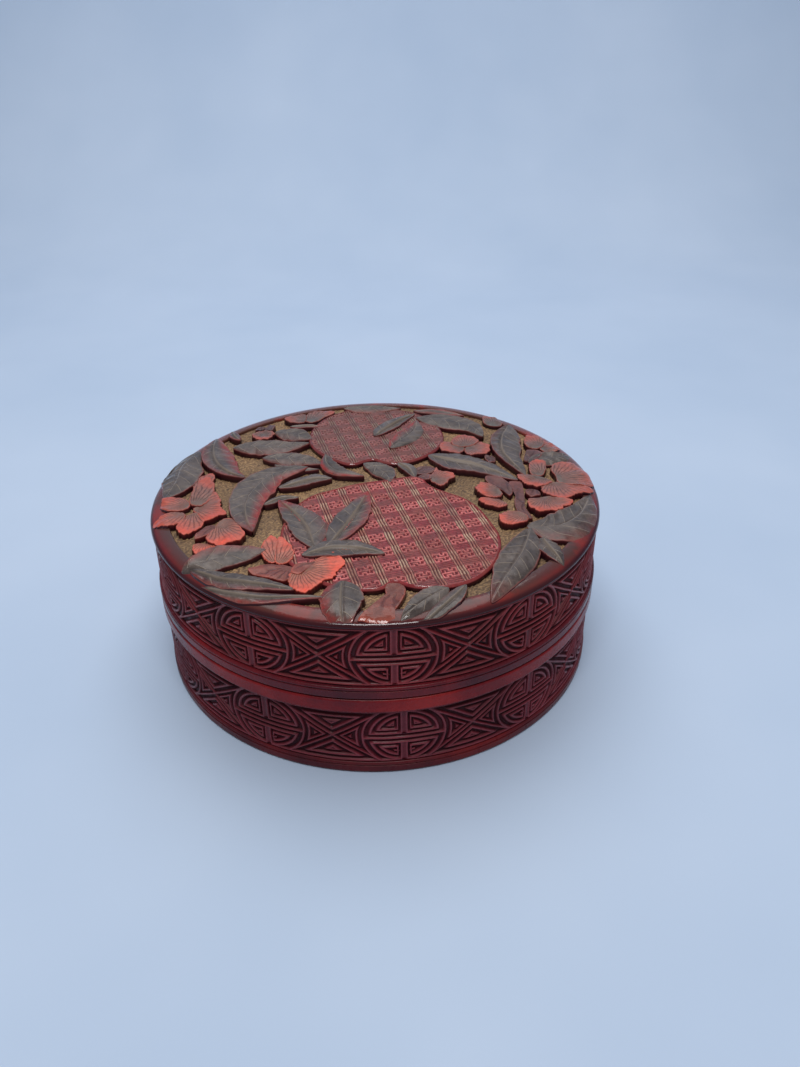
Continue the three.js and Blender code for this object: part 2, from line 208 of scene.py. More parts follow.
class Nodes:
    """A new material, with short calls for building its node tree."""

    def __init__(self, name):
        self.material = bpy.data.materials.new(name)
        self.material.use_nodes = True
        self.tree = self.material.node_tree
        self.shader = self.tree.nodes["Principled BSDF"]
        self.coords = self.tree.nodes.new("ShaderNodeTexCoord").outputs["Object"]

    def link(self, value, socket):
        """Plug a value or another node's output into a socket."""
        if isinstance(value, bpy.types.NodeSocket):
            self.tree.links.new(value, socket)
        else:
            socket.default_value = value

    def shade(self, socket, value):
        """Give one of the shader's sockets its value."""
        self.link(value, self.shader.inputs[socket])

    def mark(self, name):
        """A named value that the mesh carries at each point."""
        node = self.tree.nodes.new("ShaderNodeAttribute")
        node.attribute_name = name
        return node.outputs["Fac"]

    def axes(self):
        """The object's own x, y and z."""
        parts = self.tree.nodes.new("ShaderNodeSeparateXYZ")
        self.tree.links.new(self.coords, parts.inputs[0])
        return parts.outputs

    def math(self, operation, a, b=0.0, clamp=False):
        """One arithmetic step."""
        node = self.tree.nodes.new("ShaderNodeMath")
        node.operation = operation
        node.use_clamp = clamp
        self.link(a, node.inputs[0])
        self.link(b, node.inputs[1])
        return node.outputs[0]

    def times(self, a, b, clamp=False):
        """The product of two values."""
        return self.math("MULTIPLY", a, b, clamp)

    def length(self, x, y):
        """The length of a flat vector."""
        return self.math("SQRT", self.math("ADD", self.times(x, x), self.times(y, y)))

    def out(self):
        """Distance from the box's axis as a share of the rim radius."""
        x, y, _ = self.axes()
        return self.math("DIVIDE", self.length(x, y), RIM_RADIUS)

    def back(self):
        """How far back a place lies, from 0 at the front of the rim to 1 at its back."""
        return self.math("ADD", self.math("DIVIDE", self.axes()[1], 2 * RIM_RADIUS), 0.5)

    def noise(self, scale, detail, roughness=0.55, stretch=None):
        """Noise on the object's own coordinates."""
        coords = self.coords
        if stretch:
            mapping = self.tree.nodes.new("ShaderNodeMapping")
            mapping.inputs["Scale"].default_value = stretch
            self.tree.links.new(coords, mapping.inputs["Vector"])
            coords = mapping.outputs[0]
        node = self.tree.nodes.new("ShaderNodeTexNoise")
        node.inputs["Scale"].default_value = scale
        node.inputs["Detail"].default_value = detail
        node.inputs["Roughness"].default_value = roughness
        self.tree.links.new(coords, node.inputs["Vector"])
        return node.outputs["Fac"]

    def ramp(self, value, stops):
        """Colours or greys along a value."""
        node = self.tree.nodes.new("ShaderNodeValToRGB")
        elements = node.color_ramp.elements
        while len(elements) < len(stops):
            elements.new(0.5)
        for element, (place, colour) in zip(elements, stops):
            element.position = place
            element.color = colour if isinstance(colour, tuple) else (colour, colour, colour, 1)
        self.link(value, node.inputs["Fac"])
        return node.outputs["Color"]

    def mottle(self, scale, detail, stops, roughness=0.55):
        """Colours or greys along a noise."""
        return self.ramp(self.noise(scale, detail, roughness), stops)

    def mix(self, share, first, second, blend="MIX"):
        """Mix two colours by a share."""
        node = self.tree.nodes.new("ShaderNodeMix")
        node.data_type = "RGBA"
        node.blend_type = blend
        self.link(share, node.inputs[0])
        self.link(first, node.inputs[6])
        self.link(second, node.inputs[7])
        return node.outputs[2]

    def mottled(self, colour, scale, detail, stops, roughness=0.55):
        """A colour made lighter and darker by a noise."""
        return self.mix(1.0, colour, self.mottle(scale, detail, stops, roughness), "MULTIPLY")

    def tinted_with_painted_light(self, colour, stops):
        """A colour whose red, green and blue change from front to back, as painted light."""
        painted_light_tint = self.ramp(self.back(), [(place, (*shares, 1)) for place, shares in stops])
        return self.mix(1.0, colour, painted_light_tint, "MULTIPLY")

    def walled(self, face, edge, wall, deep_shade):
        """A face's colour, with a worn cut edge and walls below it darkened downwards as painted
        shade.
        """
        depth = self.mark("depth")
        wear = self.mottle(190, 3, [(0.35, 0.15), (0.62, 0.9)])
        face = self.mix(self.times(self.mark("edge"), wear, True), face, edge)
        # Painted shade: the walls darken from the cut edge down to their foot
        side = self.ramp(depth, [(0.0, edge), (0.14, wall), (0.6, deep_shade)])
        return self.mix(self.ramp(depth, [(0.0, 0.0), (0.1, 1.0)]), face, side)

    def bump(self, height, strength, distance, normal=None):
        """Bump from a height; the distance is a real one in metres."""
        node = self.tree.nodes.new("ShaderNodeBump")
        node.inputs["Strength"].default_value = strength
        node.inputs["Distance"].default_value = distance
        self.link(height, node.inputs["Height"])
        if normal:
            self.tree.links.new(normal, node.inputs["Normal"])
        return node.outputs["Normal"]

    def rim_polish(self):
        """How far hands have polished the carving, towards the rim."""
        return self.ramp(self.out(), [(0.9, 1.0), (0.965, 0.28)])

    def lacquer(self, colour, gloss, specular, normal=None, change=None):
        """Finish as lacquer: uneven gloss, a fine grain and slight ripples over any other bump."""
        rough = self.mottle(260, 4, [(place, gloss * part) for place, part in GLOSS_SPREAD_SHARES])
        if change:
            rough = self.times(rough, change)
        grain = self.bump(self.noise(2200, 3), min(0.25, gloss * 0.6), GRAIN_DEPTH, normal)
        self.shade("Base Color", colour)
        self.shade("Roughness", rough)
        self.shade("Normal", self.bump(self.noise(380, 4), 0.4, RIPPLE_DEPTH, grain))
        self.shade("Specular IOR Level", specular)
        return self.material


def rgb(red, green, blue):
    """A colour written as it looks on screen, 0 to 255, as a linear one."""
    shares = [channel / 255 for channel in (red, green, blue)]
    linear = [c / 12.92 if c <= 0.04045 else ((c + 0.055) / 1.055) ** 2.4 for c in shares]
    return (*linear, 1)


def carved_lacquer(name, top, wall, deep_shade, gloss):
    """Red lacquer whose colour darkens from the ridge tops down into the grooves: painted shade, with
    some dirt, in the grooves, and part of a painted sheen in the tops' light colour.
    """
    nodes = Nodes(name)
    depth = nodes.mark("depth")
    # Painted shade: darker from the ridge tops down to the groove floors
    colour = nodes.ramp(depth, [(0.0, top), (0.3, wall), (1.0, deep_shade)])
    colour = nodes.mottled(colour, 45, 5, [(0.35, 0.74), (0.65, 1.22)])
    colour = nodes.mottled(colour, 900, 3, [(0.3, 0.84), (0.7, 1.14)])
    return nodes.lacquer(colour, gloss, 0.24, change=nodes.ramp(depth, [(0.3, 1.0), (0.9, 2.0)]))


def moulding_lacquer(name, base, bright, dark, gloss):
    """Smooth polished lacquer with brighter and darker worn patches."""
    nodes = Nodes(name)
    colour = nodes.mottle(38, 6, [(0.32, dark), (0.5, base), (0.68, bright)], 0.6)
    colour = nodes.mottled(colour, 1400, 3, [(0.3, 0.88), (0.7, 1.08)])
    return nodes.lacquer(colour, gloss, 0.2)


def border_lacquer():
    """Polished lacquer, dull brown inside and red along the rim, with worn patches, a painted shade
    band on the rim's outer roll towards the front, and a painted front-to-back tint.
    """
    nodes = Nodes("border_red")
    out = nodes.out()
    band = nodes.ramp(out, [(0.93, rgb(80, 54, 50)), (0.965, rgb(90, 48, 46)),
                            (0.985, rgb(108, 34, 34))])
    patches = nodes.mottle(42, 6, [(0.38, 0.0), (0.62, 1.0)], 0.62)
    band = nodes.mix(nodes.times(patches, 0.6), band, rgb(62, 50, 42))
    bloom = nodes.mottle(60, 5, [(0.52, 0.0), (0.66, 0.75)], 0.6)
    band = nodes.mix(bloom, band, rgb(134, 42, 36))
    # Painted light: the border turns redder towards the back
    band = nodes.tinted_with_painted_light(band, BORDER_PAINTED_LIGHT_SHARES)
    # Painted shade: a dark band on the rim's outer roll, strongest at the front
    brink = nodes.times(nodes.ramp(out, [(0.982, 0.0), (0.993, 0.9)]),
                        nodes.ramp(nodes.back(), [(0.4, 1.0), (0.8, 0.2)]))
    return nodes.lacquer(nodes.mix(brink, band, rgb(52, 15, 22)), 0.11, 0.3)


def leaf_lacquer():
    """Dull grey-brown lacquer with fine raised veins, red where its upper coat is thin."""
    nodes = Nodes("leaf_lacquer")
    face = nodes.mottle(120, 6, [(0.4, rgb(72, 62, 58)), (0.62, rgb(98, 86, 79))], 0.62)
    patchy = nodes.mottle(260, 5, [(0.36, 0.35), (0.56, 1.0)], 0.65)
    face = nodes.mix(nodes.times(nodes.mark("red"), patchy, True), face, rgb(140, 40, 36))
    face = nodes.mottled(face, 700, 5, [(0.32, 0.66), (0.68, 1.26)], 0.72)
    turn_share = nodes.math("FRACT", nodes.mark("phase"))
    gap = nodes.math("ABSOLUTE", nodes.math("SUBTRACT", turn_share, 0.5))
    vein = nodes.times(nodes.ramp(gap, [(0.015, 1.0), (0.045, 0.0)]), nodes.mark("veined"))
    lines = nodes.math("MAXIMUM", nodes.mark("line"), vein)
    face = nodes.mix(nodes.times(lines, 0.65, True), face, rgb(148, 132, 116))
    # Edge, wall and foot colours; the wall and foot colours are painted shade
    face = nodes.walled(face, rgb(138, 76, 68), rgb(78, 28, 34), rgb(42, 13, 19))
    raised = nodes.bump(vein, 0.8, VEIN_DEPTH)
    return nodes.lacquer(face, 0.36, 0.34, raised, nodes.rim_polish())


def petal_lacquer(name, root, middle, tip, edge, lines, gloss):
    """Lacquer whose colour and fine cut lines fan out from a petal's root, with painted shade on its
    walls and a front-to-back tint that is partly painted light.
    """
    nodes = Nodes(name)
    across, along = nodes.mark("fan_x"), nodes.mark("fan_y")
    far = nodes.length(across, along)
    shift = nodes.times(nodes.math("SUBTRACT", nodes.noise(150, 3), 0.5), 0.9)
    face = nodes.ramp(nodes.math("ADD", far, shift), [(0.1, root), (0.55, middle), (1.0, tip)])
    face = nodes.mottled(face, 600, 5, [(0.3, 0.74), (0.7, 1.2)], 0.68)
    fan = nodes.times(nodes.math("ARCTAN2", along, across), lines)
    wave = nodes.math("SINE", nodes.math("ADD", fan, nodes.times(nodes.noise(220, 2), 9.0)))
    kept = nodes.ramp(nodes.math("ADD", far, nodes.times(shift, 0.6)),
                      [(0.12, 0.0), (0.25, 1.0), (0.6, 0.8), (0.95, 0.0)])
    cut = nodes.times(nodes.ramp(wave, [(0.35, 0.0), (0.9, 1.0)]), kept)
    face = nodes.mix(nodes.times(cut, 0.7, True), face, rgb(58, 26, 26))
    # Edge, wall and foot colours; the wall and foot colours are painted shade
    face = nodes.walled(face, edge, rgb(82, 28, 33), rgb(42, 13, 19))
    # Painted light, partly the petals' own colour: redder and brighter at the front, greyer at the
    # back
    colour = nodes.tinted_with_painted_light(face, PETAL_PAINTED_LIGHT_SHARES)
    lines_bump = nodes.bump(nodes.math("SUBTRACT", 1.0, cut), 0.7, FAN_LINE_DEPTH)
    return nodes.lacquer(colour, gloss, 0.26, lines_bump, nodes.rim_polish())


def fruit_lacquer(name, dull):
    """Red diaper: pinkish fret ridges in dark squares, red cross bands, tan upright lines."""
    nodes = Nodes(name)
    zone = nodes.mark("zone")
    ridge = nodes.ramp(zone, [(0.0, rgb(208, 112, 108)), (0.5, rgb(140, 44, 52)),
                              (1.0, rgb(194, 160, 134))])
    patches = nodes.mottle(130, 6, [(0.38, 0.0), (0.6, 0.75)], 0.68)
    ridge = nodes.mix(patches, ridge, rgb(144, 76, 68))
    groove = nodes.ramp(zone, [(0.0, rgb(98, 14, 26)), (0.5, rgb(76, 10, 22)),
                               (1.0, rgb(86, 42, 40))])
    face = nodes.mix(nodes.mark("raised"), groove, ridge)
    face = nodes.mix(dull, face, rgb(104, 64, 58))
    face = nodes.mottled(face, 800, 5, [(0.34, 0.62), (0.66, 1.3)], 0.75)
    # Edge, wall and foot colours; the wall and foot colours are painted shade
    face = nodes.walled(face, rgb(132, 52, 52), rgb(72, 22, 28), rgb(32, 9, 13))
    # Painted light: the fruit turns greyer towards the back
    colour = nodes.tinted_with_painted_light(face, FRUIT_PAINTED_LIGHT_SHARES)
    smoother = nodes.ramp(nodes.mark("edge"), [(0.05, 1.0), (0.5, 0.35)])
    return nodes.lacquer(colour, 0.4, 0.3, change=smoother)


def ground_lacquer():
    """Ochre ground cut all over with a fine wavy diaper."""
    nodes = Nodes("ground_lacquer")
    colour = nodes.ramp(nodes.mark("crest"), [(0.0, rgb(58, 38, 28)), (0.4, rgb(116, 86, 58)),
                                              (1.0, rgb(172, 138, 94))])
    colour = nodes.mottled(colour, 60, 5, [(0.35, 0.62), (0.65, 1.1)])
    colour = nodes.mottled(colour, 1300, 4, [(0.34, 0.6), (0.66, 1.25)], 0.7)
    nodes.shade("Base Color", colour)
    nodes.shade("Roughness", 0.72)
    nodes.shade("Normal", nodes.bump(nodes.noise(1500, 4), 0.5, GROUND_GRAIN_DEPTH))
    return nodes.material


def black_lacquer():
    """Polished black lacquer, a little brown where it is thin."""
    nodes = Nodes("black_lacquer")
    nodes.shade("Base Color", nodes.mottle(60, 5, [(0.35, rgb(14, 11, 11)), (0.7, rgb(34, 22, 19))]))
    nodes.shade("Roughness", nodes.mottle(180, 5, [(0.3, 0.14), (0.7, 0.32)]))
    nodes.shade("Normal", nodes.bump(nodes.noise(90, 3), 0.4, BLACK_RIPPLE_DEPTH))
    return nodes.material


def core_wood():
    """Plain softwood with grain along its length."""
    nodes = Nodes("core_wood")
    grain = nodes.noise(260, 6, 0.65, WOOD_STRETCH_SHARES)
    nodes.shade("Base Color", nodes.ramp(grain, [(0.35, rgb(128, 92, 58)), (0.6, rgb(176, 138, 94))]))
    nodes.shade("Roughness", 0.75)
    nodes.shade("Normal", nodes.bump(grain, 0.3, WOOD_GRAIN_DEPTH))
    return nodes.material


# Ridge top, wall and groove floor colours of the carved bands; the groove floor colour is painted
# shade with some dirt
CARVED_RED = carved_lacquer("carved_red", rgb(136, 56, 60), rgb(102, 27, 34), rgb(58, 9, 17), 0.34)
BASE_RED = carved_lacquer("carved_red_base", rgb(122, 52, 60), rgb(94, 26, 36), rgb(58, 10, 19), 0.36)
SEAM_RED = moulding_lacquer("seam_red", rgb(124, 24, 28), rgb(152, 36, 34), rgb(92, 20, 28), 0.26)
RIM_BROWN = moulding_lacquer("rim_brown", rgb(96, 28, 36), rgb(124, 30, 33), rgb(66, 24, 32), 0.26)
FOOT_RED = moulding_lacquer("foot_red", rgb(92, 24, 30), rgb(112, 28, 30), rgb(66, 20, 28), 0.3)
BORDER_RED = border_lacquer()
GROUND = ground_lacquer()
BLACK = black_lacquer()
WOOD = core_wood()
LEAF = leaf_lacquer()
PETAL = petal_lacquer("petal_lacquer", rgb(112, 90, 82), rgb(146, 92, 82), rgb(188, 80, 64),
                      rgb(172, 86, 74), 44, 0.36)
STALK = petal_lacquer("stalk_lacquer", rgb(92, 60, 56), rgb(102, 62, 58), rgb(112, 64, 58),
                      rgb(136, 76, 68), 14, 0.3)
NEAR_FRUIT = fruit_lacquer("near_fruit_lacquer", 0.04)
FAR_FRUIT = fruit_lacquer("far_fruit_lacquer", 0.5)

# Smooth turned pieces

TURNS = 288
TURN_ANGLES = np.arange(TURNS) / TURNS * 2 * math.pi
WOBBLE = 0.05 * MM
WOBBLE_SIZE_SHARE = 0.35
SUPPORT = 0.12 * MM
LOWER_ARC_SHARES = (0.33, 0.66, 1.0)
UPPER_ARC_SHARES = (0.0, 0.33, 0.66)
SEAM_EASE = 0.7 * MM
FOOT_EASE = 0.9 * MM
RIM_COAT_EASE = 0.2 * MM
FLAT_COAT_EASE = 0.1 * MM

# A fine line cut round a moulding
GROOVE_HALF = 0.28 * MM
GROOVE_CUT = 0.42 * MM
GROOVE_LINE = 1.15 * MM
GROOVE_FLOOR_SHARE = 0.3

# The border's section, with its inner lip as parts of the inset: outwards and down
SHOULDER_INSET = 1.0 * MM
SHOULDER_STEPS = 72
LIP_SHARES = ((0.3, 0.1), (0.0, 0.5))


def turn(name, profile, material, body, slot, *nodes):
    """A smooth ring or disc from (radius, height) corners, closed on itself."""
    corners = supported(np.array(profile))
    radius, height = corners[:, :1], corners[:, 1:]
    shake = waves(np.cos(TURN_ANGLES), np.sin(TURN_ANGLES), WOBBLE_SIZE_SHARE, len(name)) * WOBBLE
    points = wrapped(np.where(radius > 0, radius + shake, 0), TURN_ANGLES, height)
    faces = grid_faces(len(corners), TURNS, closed_rows=True, closed_columns=True)
    piece = add_mesh(name, points.reshape(-1, 3), faces, {}, material, body)
    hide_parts(*nodes)


def supported(corners):
    """Extra points near each corner so that smooth shading keeps the flats flat."""
    points = []
    for start, end in zip(corners, np.roll(corners, -1, axis=0)):
        length = np.linalg.norm(end - start)
        points.append(start)
        if length > 3 * SUPPORT:
            points.append(start + (end - start) * SUPPORT / length)
            points.append(end - (end - start) * SUPPORT / length)
    return np.array(points)


def eased(inner, outer, bottom, top, ease):
    """Section of a ring whose outer edges are rounded by a small arc."""
    corners = [(inner, bottom), (outer - ease, bottom)]
    for share in LOWER_ARC_SHARES:
        angle = share * math.pi / 2
        corners.append((outer - ease * (1 - math.sin(angle)), bottom + ease * (1 - math.cos(angle))))
    for share in UPPER_ARC_SHARES:
        angle = share * math.pi / 2
        corners.append((outer - ease * (1 - math.cos(angle)), top - ease * (1 - math.sin(angle))))
    return [*corners, (outer - ease, top), (inner, top)]


def grooved(section, top):
    """A moulding's section with a fine line cut round it, a little below its upper edge."""
    outer = max(radius for radius, _ in section)
    middle = top - GROOVE_LINE
    cut = [(outer, middle - GROOVE_HALF),
           (outer - GROOVE_CUT, middle - GROOVE_FLOOR_SHARE * GROOVE_HALF),
           (outer - GROOVE_CUT, middle + GROOVE_FLOOR_SHARE * GROOVE_HALF),
           (outer, middle + GROOVE_HALF)]
    below = [corner for corner in section if corner[1] < middle]
    above = [corner for corner in section if corner[1] > middle]
    return [*below, *cut, *above]


def build_mouldings():
    """The plain bands at the foot, both sides of the seam, and the rounded border."""
    foot_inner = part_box("base_under_lacquer")[1][0] + FIT_GAP
    foot = eased(foot_inner, FOOT_HIGH[0], FOOT_LOW[2], FOOT_HIGH[2], FOOT_EASE)
    seam = eased(COAT_INNER_RADIUS, BASE_SEAM_HIGH[0], BASE_SEAM_LOW[2], BASE_SEAM_HIGH[2], SEAM_EASE)
    rim = eased(COAT_INNER_RADIUS, LID_SEAM_HIGH[0], LID_SEAM_LOW[2], LID_SEAM_HIGH[2], SEAM_EASE)
    shoulder = [(EDGE_RING_RADIUS, BORDER_BOTTOM), (RIM_RADIUS - SHOULDER_INSET, BORDER_BOTTOM)]
    for radius in np.linspace(RIM_RADIUS, EDGE_RING_RADIUS + SHOULDER_INSET, SHOULDER_STEPS):
        shoulder.append((radius, float(border_height(radius))))
    inner_top = float(border_height(EDGE_RING_RADIUS))
    for outwards, down in LIP_SHARES:
        shoulder.append((EDGE_RING_RADIUS + outwards * SHOULDER_INSET,
                         inner_top - down * SHOULDER_INSET))
    for name, section, material, body, node in (
        ("foot_ring", grooved(foot, FOOT_HIGH[2]), FOOT_RED, "base", "base_foot_moulding"),
        ("base_seam_ring", seam, SEAM_RED, "base", "base_seam_moulding"),
        ("lid_rim_ring", grooved(rim, LID_SEAM_HIGH[2]), RIM_BROWN, "lid", "lid_rim_moulding"),
        ("border_ring", shoulder, BORDER_RED, "lid", "lid_border"),
    ):
        turn(name, section, material, body, "plain_red", node)


def build_linings():
    """Black lacquer on the lip, floor, rims, lid inside and underside."""
    for name, node, body, ease in (
        ("lip_ring", "base_locating_lip", "base", RIM_COAT_EASE),
        ("base_rim_coat", "base_rim_lacquer", "base", RIM_COAT_EASE),
        ("lid_rim_coat", "lid_rim_lacquer", "lid", RIM_COAT_EASE),
        ("floor_coat", "base_floor_lacquer", "base", FLAT_COAT_EASE),
        ("under_coat", "base_under_lacquer", "base", FLAT_COAT_EASE),
    ):
        low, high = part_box(node)
        inner = inner_radius(node) if ease == RIM_COAT_EASE else 0
        section = eased(inner, high[0], low[2], high[2], ease)
        turn(name, section, BLACK, body, "black_lacquer", node)
    low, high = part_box("lid_inner_lacquer")
    inner = inner_radius("lid_inner_lacquer")
    ceiling = high[2] - (high[0] - inner)
    cup = [(0, ceiling), (inner, ceiling), (inner, low[2]), (high[0], low[2]),
           (high[0], high[2]), (0, high[2])]
    turn("lid_lining", cup, BLACK, "lid", "black_lacquer", "lid_inner_lacquer")


def inner_radius(node):
    """Smallest distance from the axis of a hollow node's points."""
    points = bpy.data.objects[node].data.vertices
    return min(math.hypot(v.co.x, v.co.y) for v in points if v.co.xy.length > MM)


def dress_core():
    """Wood on the core pieces that keep their solid shape."""
    for name in ("base_floor_board", "base_wall_hoop", "lid_wall_hoop", "lid_top_board"):
        for slot in bpy.data.objects[name].material_slots:
            slot.material = WOOD


# Carved roundel lattice round the sides, drawn flat in millimetres and wrapped round the box

ROUNDELS = 11
HALF_MODULE = 20.0
HALF_BAND = 10.3
RING = 9.65
OUTER_RING = 11.7
BARS = (1.1, -0.75, -2.6)
UPRIGHT = 0.8
RIDGE_FOOT = 0.6
PITCH = 1.85
WEDGE_PITCH = 1.95
FRET_PITCH = 1.65
GROOVE_DEPTH = 0.85
FLOOR_DEPTH = 0.82
DIMPLE = 0.55
BAR_DIP = 0.32
BAR_COLUMNS = 7
SAMPLE = 1.3
ON_MIDDLE = 0.001
TOUCH = 1
DIAGONAL = math.asin(OUTER_RING / HALF_MODULE)
LID_PHASE = math.radians(4.7)
BASE_PHASE = math.radians(6.7)

# How far down a ridge falls towards its foot
RIDGE_PROFILE_SHARES = [(0.0, 0.0), (0.26, 0.06), (0.5, 0.22), (0.74, 0.55), (1.0, 1.0)]

# How fast the sides of a lens and of a fret move inwards, beside a straight side's 1
LENS_SIDE_SHARE = 0.75
LENS_ARC_SHARE = 0.9
FRET_ARC_SHARE = 1.1
FRET_SIDE_SHARE = 0.65

# Unevenness of the cutting: its size, how much, and a shift of the seed
MODULE_SHIFT = 40
TURN_SHAKE = ((5, 0.0022, 0),)
HEIGHT_SHAKE = ((5, 0.09 * MM, 9),)
WEAR = ((3, 0.05, 20),)


class Line:
    """A straight side; the region lies where the normal points."""

    def __init__(self, nx, ny, distance, weight=1.0):
        self.normal = np.array([nx, ny]) / math.hypot(nx, ny)
        self.distance = distance
        self.weight = weight

    def between(self, start, end, count):
        """Points from start towards end, without the end."""
        share = np.arange(count)[:, None] / count
        return start + (end - start) * share


class Arc:
    """A side on a circle round the roundel's centre, with the region inside or outside it."""

    def __init__(self, radius, inside, weight=1.0):
        self.radius = radius
        self.way = -1 if inside else 1
        self.weight = weight

    def at(self, offset):
        """The radius after moving into the region."""
        return self.radius + self.way * offset * self.weight

    def between(self, start, end, count):
        """Points round the circle from start towards end, without the end."""
        first = math.atan2(start[1], start[0])
        last = math.atan2(end[1], end[0])
        turn_by = (last - first + math.pi) % (2 * math.pi) - math.pi
        angles = first + turn_by * np.arange(count) / count
        radius = np.linalg.norm(start)
        return radius * np.stack([np.cos(angles), np.sin(angles)], axis=-1)


def meet(first, second, offset, hint):
    """Where two sides cross once both have moved into the region by an offset."""
    if isinstance(first, Arc):
        first, second = second, first
    distance = first.distance + offset * first.weight
    if isinstance(second, Line):
        system = np.array([first.normal, second.normal])
        other = second.distance + offset * second.weight
        return np.linalg.solve(system, [distance, other])
    radius = second.at(offset)
    foot = first.normal * distance
    reach = math.sqrt(max(radius ** 2 - distance ** 2, 0))
    along = np.array([-first.normal[1], first.normal[0]])
    choices = (foot + along * reach, foot - along * reach)
    return min(choices, key=lambda point: np.linalg.norm(point - hint))


def ridge_levels(pitch, ridges, island):
    """Offsets and depths of each ridge strip, from the region's edge inwards."""
    down = [(share * RIDGE_FOOT, drop * GROOVE_DEPTH) for share, drop in RIDGE_PROFILE_SHARES]
    strips = [down]
    for index in range(1, ridges + 1):
        middle = index * pitch
        up = [(middle - offset, drop) for offset, drop in down[::-1]]
        strips.append(up + [(middle + offset, drop) for offset, drop in down[1:]])
    if island:
        middle = (ridges + 1) * pitch
        strips.append([(middle - offset, drop) for offset, drop in down[::-1]])
    return strips


def region_strips(sides, corners, pitch, ridges, island, mirror=False):
    """Ridge strips inside one region, as (points, depths, faces) in flat coordinates."""
    corners = np.array(corners, dtype=float)
    count = len(sides)
    lengths = np.linalg.norm(np.roll(corners, -1, axis=0) - corners, axis=1)
    samples = [max(2, int(length / SAMPLE)) for length in lengths]
    width = sum(samples)
    patches = []
    strips = ridge_levels(pitch, ridges, island)
    for strip_index, strip in enumerate(strips):
        loops = []
        for offset, _ in strip:
            marks = [meet(sides[i - 1], sides[i], offset, corners[i]) for i in range(count)]
            loops += [sides[i].between(marks[i], marks[(i + 1) % count], samples[i])
                      for i in range(count)]
        points = np.concatenate(loops)
        depth = np.repeat([depth for _, depth in strip], width)
        faces = grid_faces(len(strip), width, closed_columns=True).tolist()
        if island and strip_index == len(strips) - 1:
            centre = len(points)
            last = np.arange(centre - width, centre)
            points = np.vstack([points, points[last].mean(axis=0)])
            depth = np.append(depth, DIMPLE)
            faces += [[last[k], last[(k + 1) % width], centre] for k in range(width)]
        if mirror:
            points = points * [-1, 1]
            faces = [face[::-1] for face in faces]
        faces = [face for face in faces if np.abs(points[face, 0]).max() > ON_MIDDLE]
        patches.append(facing_out(points, depth, faces))
    return patches


def facing_out(points, depth, faces):
    """A patch turned so that its faces look outwards."""
    area = 0.0
    for face in faces[: len(faces) // 2 + 1]:
        a, b, c = (points[face[k]] for k in range(3))
        area += (b[0] - a[0]) * (c[1] - a[1]) - (b[1] - a[1]) * (c[0] - a[0])
    return points, depth, faces if area > 0 else [face[::-1] for face in faces]


def circle_reach(radius, offset):
    """Half the chord that a circle cuts at a distance from its centre."""
    return math.sqrt(radius ** 2 - offset ** 2)


def module_patches():
    """Every ridge strip of one roundel and the lattice field on its right."""
    patches = wedge_patches()
    for mirror in (False, True):
        patches += lens_patches(mirror)
        for flip, bar in ((1, BARS[0]), (-1, BARS[2])):
            patches += half_patches(flip, bar, mirror)
    for flip, bar in ((1, BARS[0]), (-1, BARS[2])):
        patches += [facing_out(*upright_bar(flip, bar)), facing_out(*margin_strip(flip))]
    return patches


def wedge_patches():
    """The triangles above and below the point where two roundels' diagonals cross."""
    across, up = math.sin(DIAGONAL), math.cos(DIAGONAL)
    run = RING / math.tan(DIAGONAL)
    patches = []
    for flip in (1, -1):
        sides = [Line(0, -flip, -RING), Line(across, flip * up, HALF_MODULE * across),
                 Line(-across, flip * up, -HALF_MODULE * across)]
        corners = [(HALF_MODULE + run, flip * RING), (HALF_MODULE - run, flip * RING),
                   (HALF_MODULE, 0)]
        patches += region_strips(sides, corners, WEDGE_PITCH, 1, True)
    return patches


def lens_patches(mirror):
    """The field between a roundel's side and the diagonals' crossing."""
    across, up = math.sin(DIAGONAL), math.cos(DIAGONAL)
    sides = [Line(across, -up, -HALF_MODULE * across, LENS_SIDE_SHARE),
             Line(across, up, -HALF_MODULE * across, LENS_SIDE_SHARE),
             Arc(OUTER_RING, False, LENS_ARC_SHARE)]
    touch = (-OUTER_RING * across - TOUCH, OUTER_RING * up - TOUCH)
    corners = [touch, (-HALF_MODULE, 0), (touch[0], -touch[1])]
    return region_strips(sides, corners, PITCH, 1, True, mirror)


def half_patches(flip, bar, mirror):
    """A quarter of a roundel: its ring and cross bar, and the fret inside them."""
    nearest = BARS[1]
    ring_x = circle_reach(RING, bar)
    corners = [(-1, flip * RING), (-circle_reach(OUTER_RING, RING), flip * RING),
               (-circle_reach(OUTER_RING, nearest), nearest), (0, nearest), (0, bar),
               (-ring_x, bar)]
    sides = [Line(0, -flip, -RING), Arc(OUTER_RING, True), Line(0, flip, flip * nearest),
             Line(-1, 0, 0, 0), Line(0, -flip, -flip * bar), Arc(RING, False)]
    patches = region_strips(sides, corners, PITCH, 0, False, mirror)
    corners = [(-UPRIGHT, flip * circle_reach(RING, UPRIGHT)), (-ring_x, bar), (-UPRIGHT, bar)]
    sides = [Arc(RING, True, FRET_ARC_SHARE), Line(0, flip, flip * bar),
             Line(-1, 0, UPRIGHT, FRET_SIDE_SHARE)]
    return patches + region_strips(sides, corners, FRET_PITCH, 1, True, mirror)


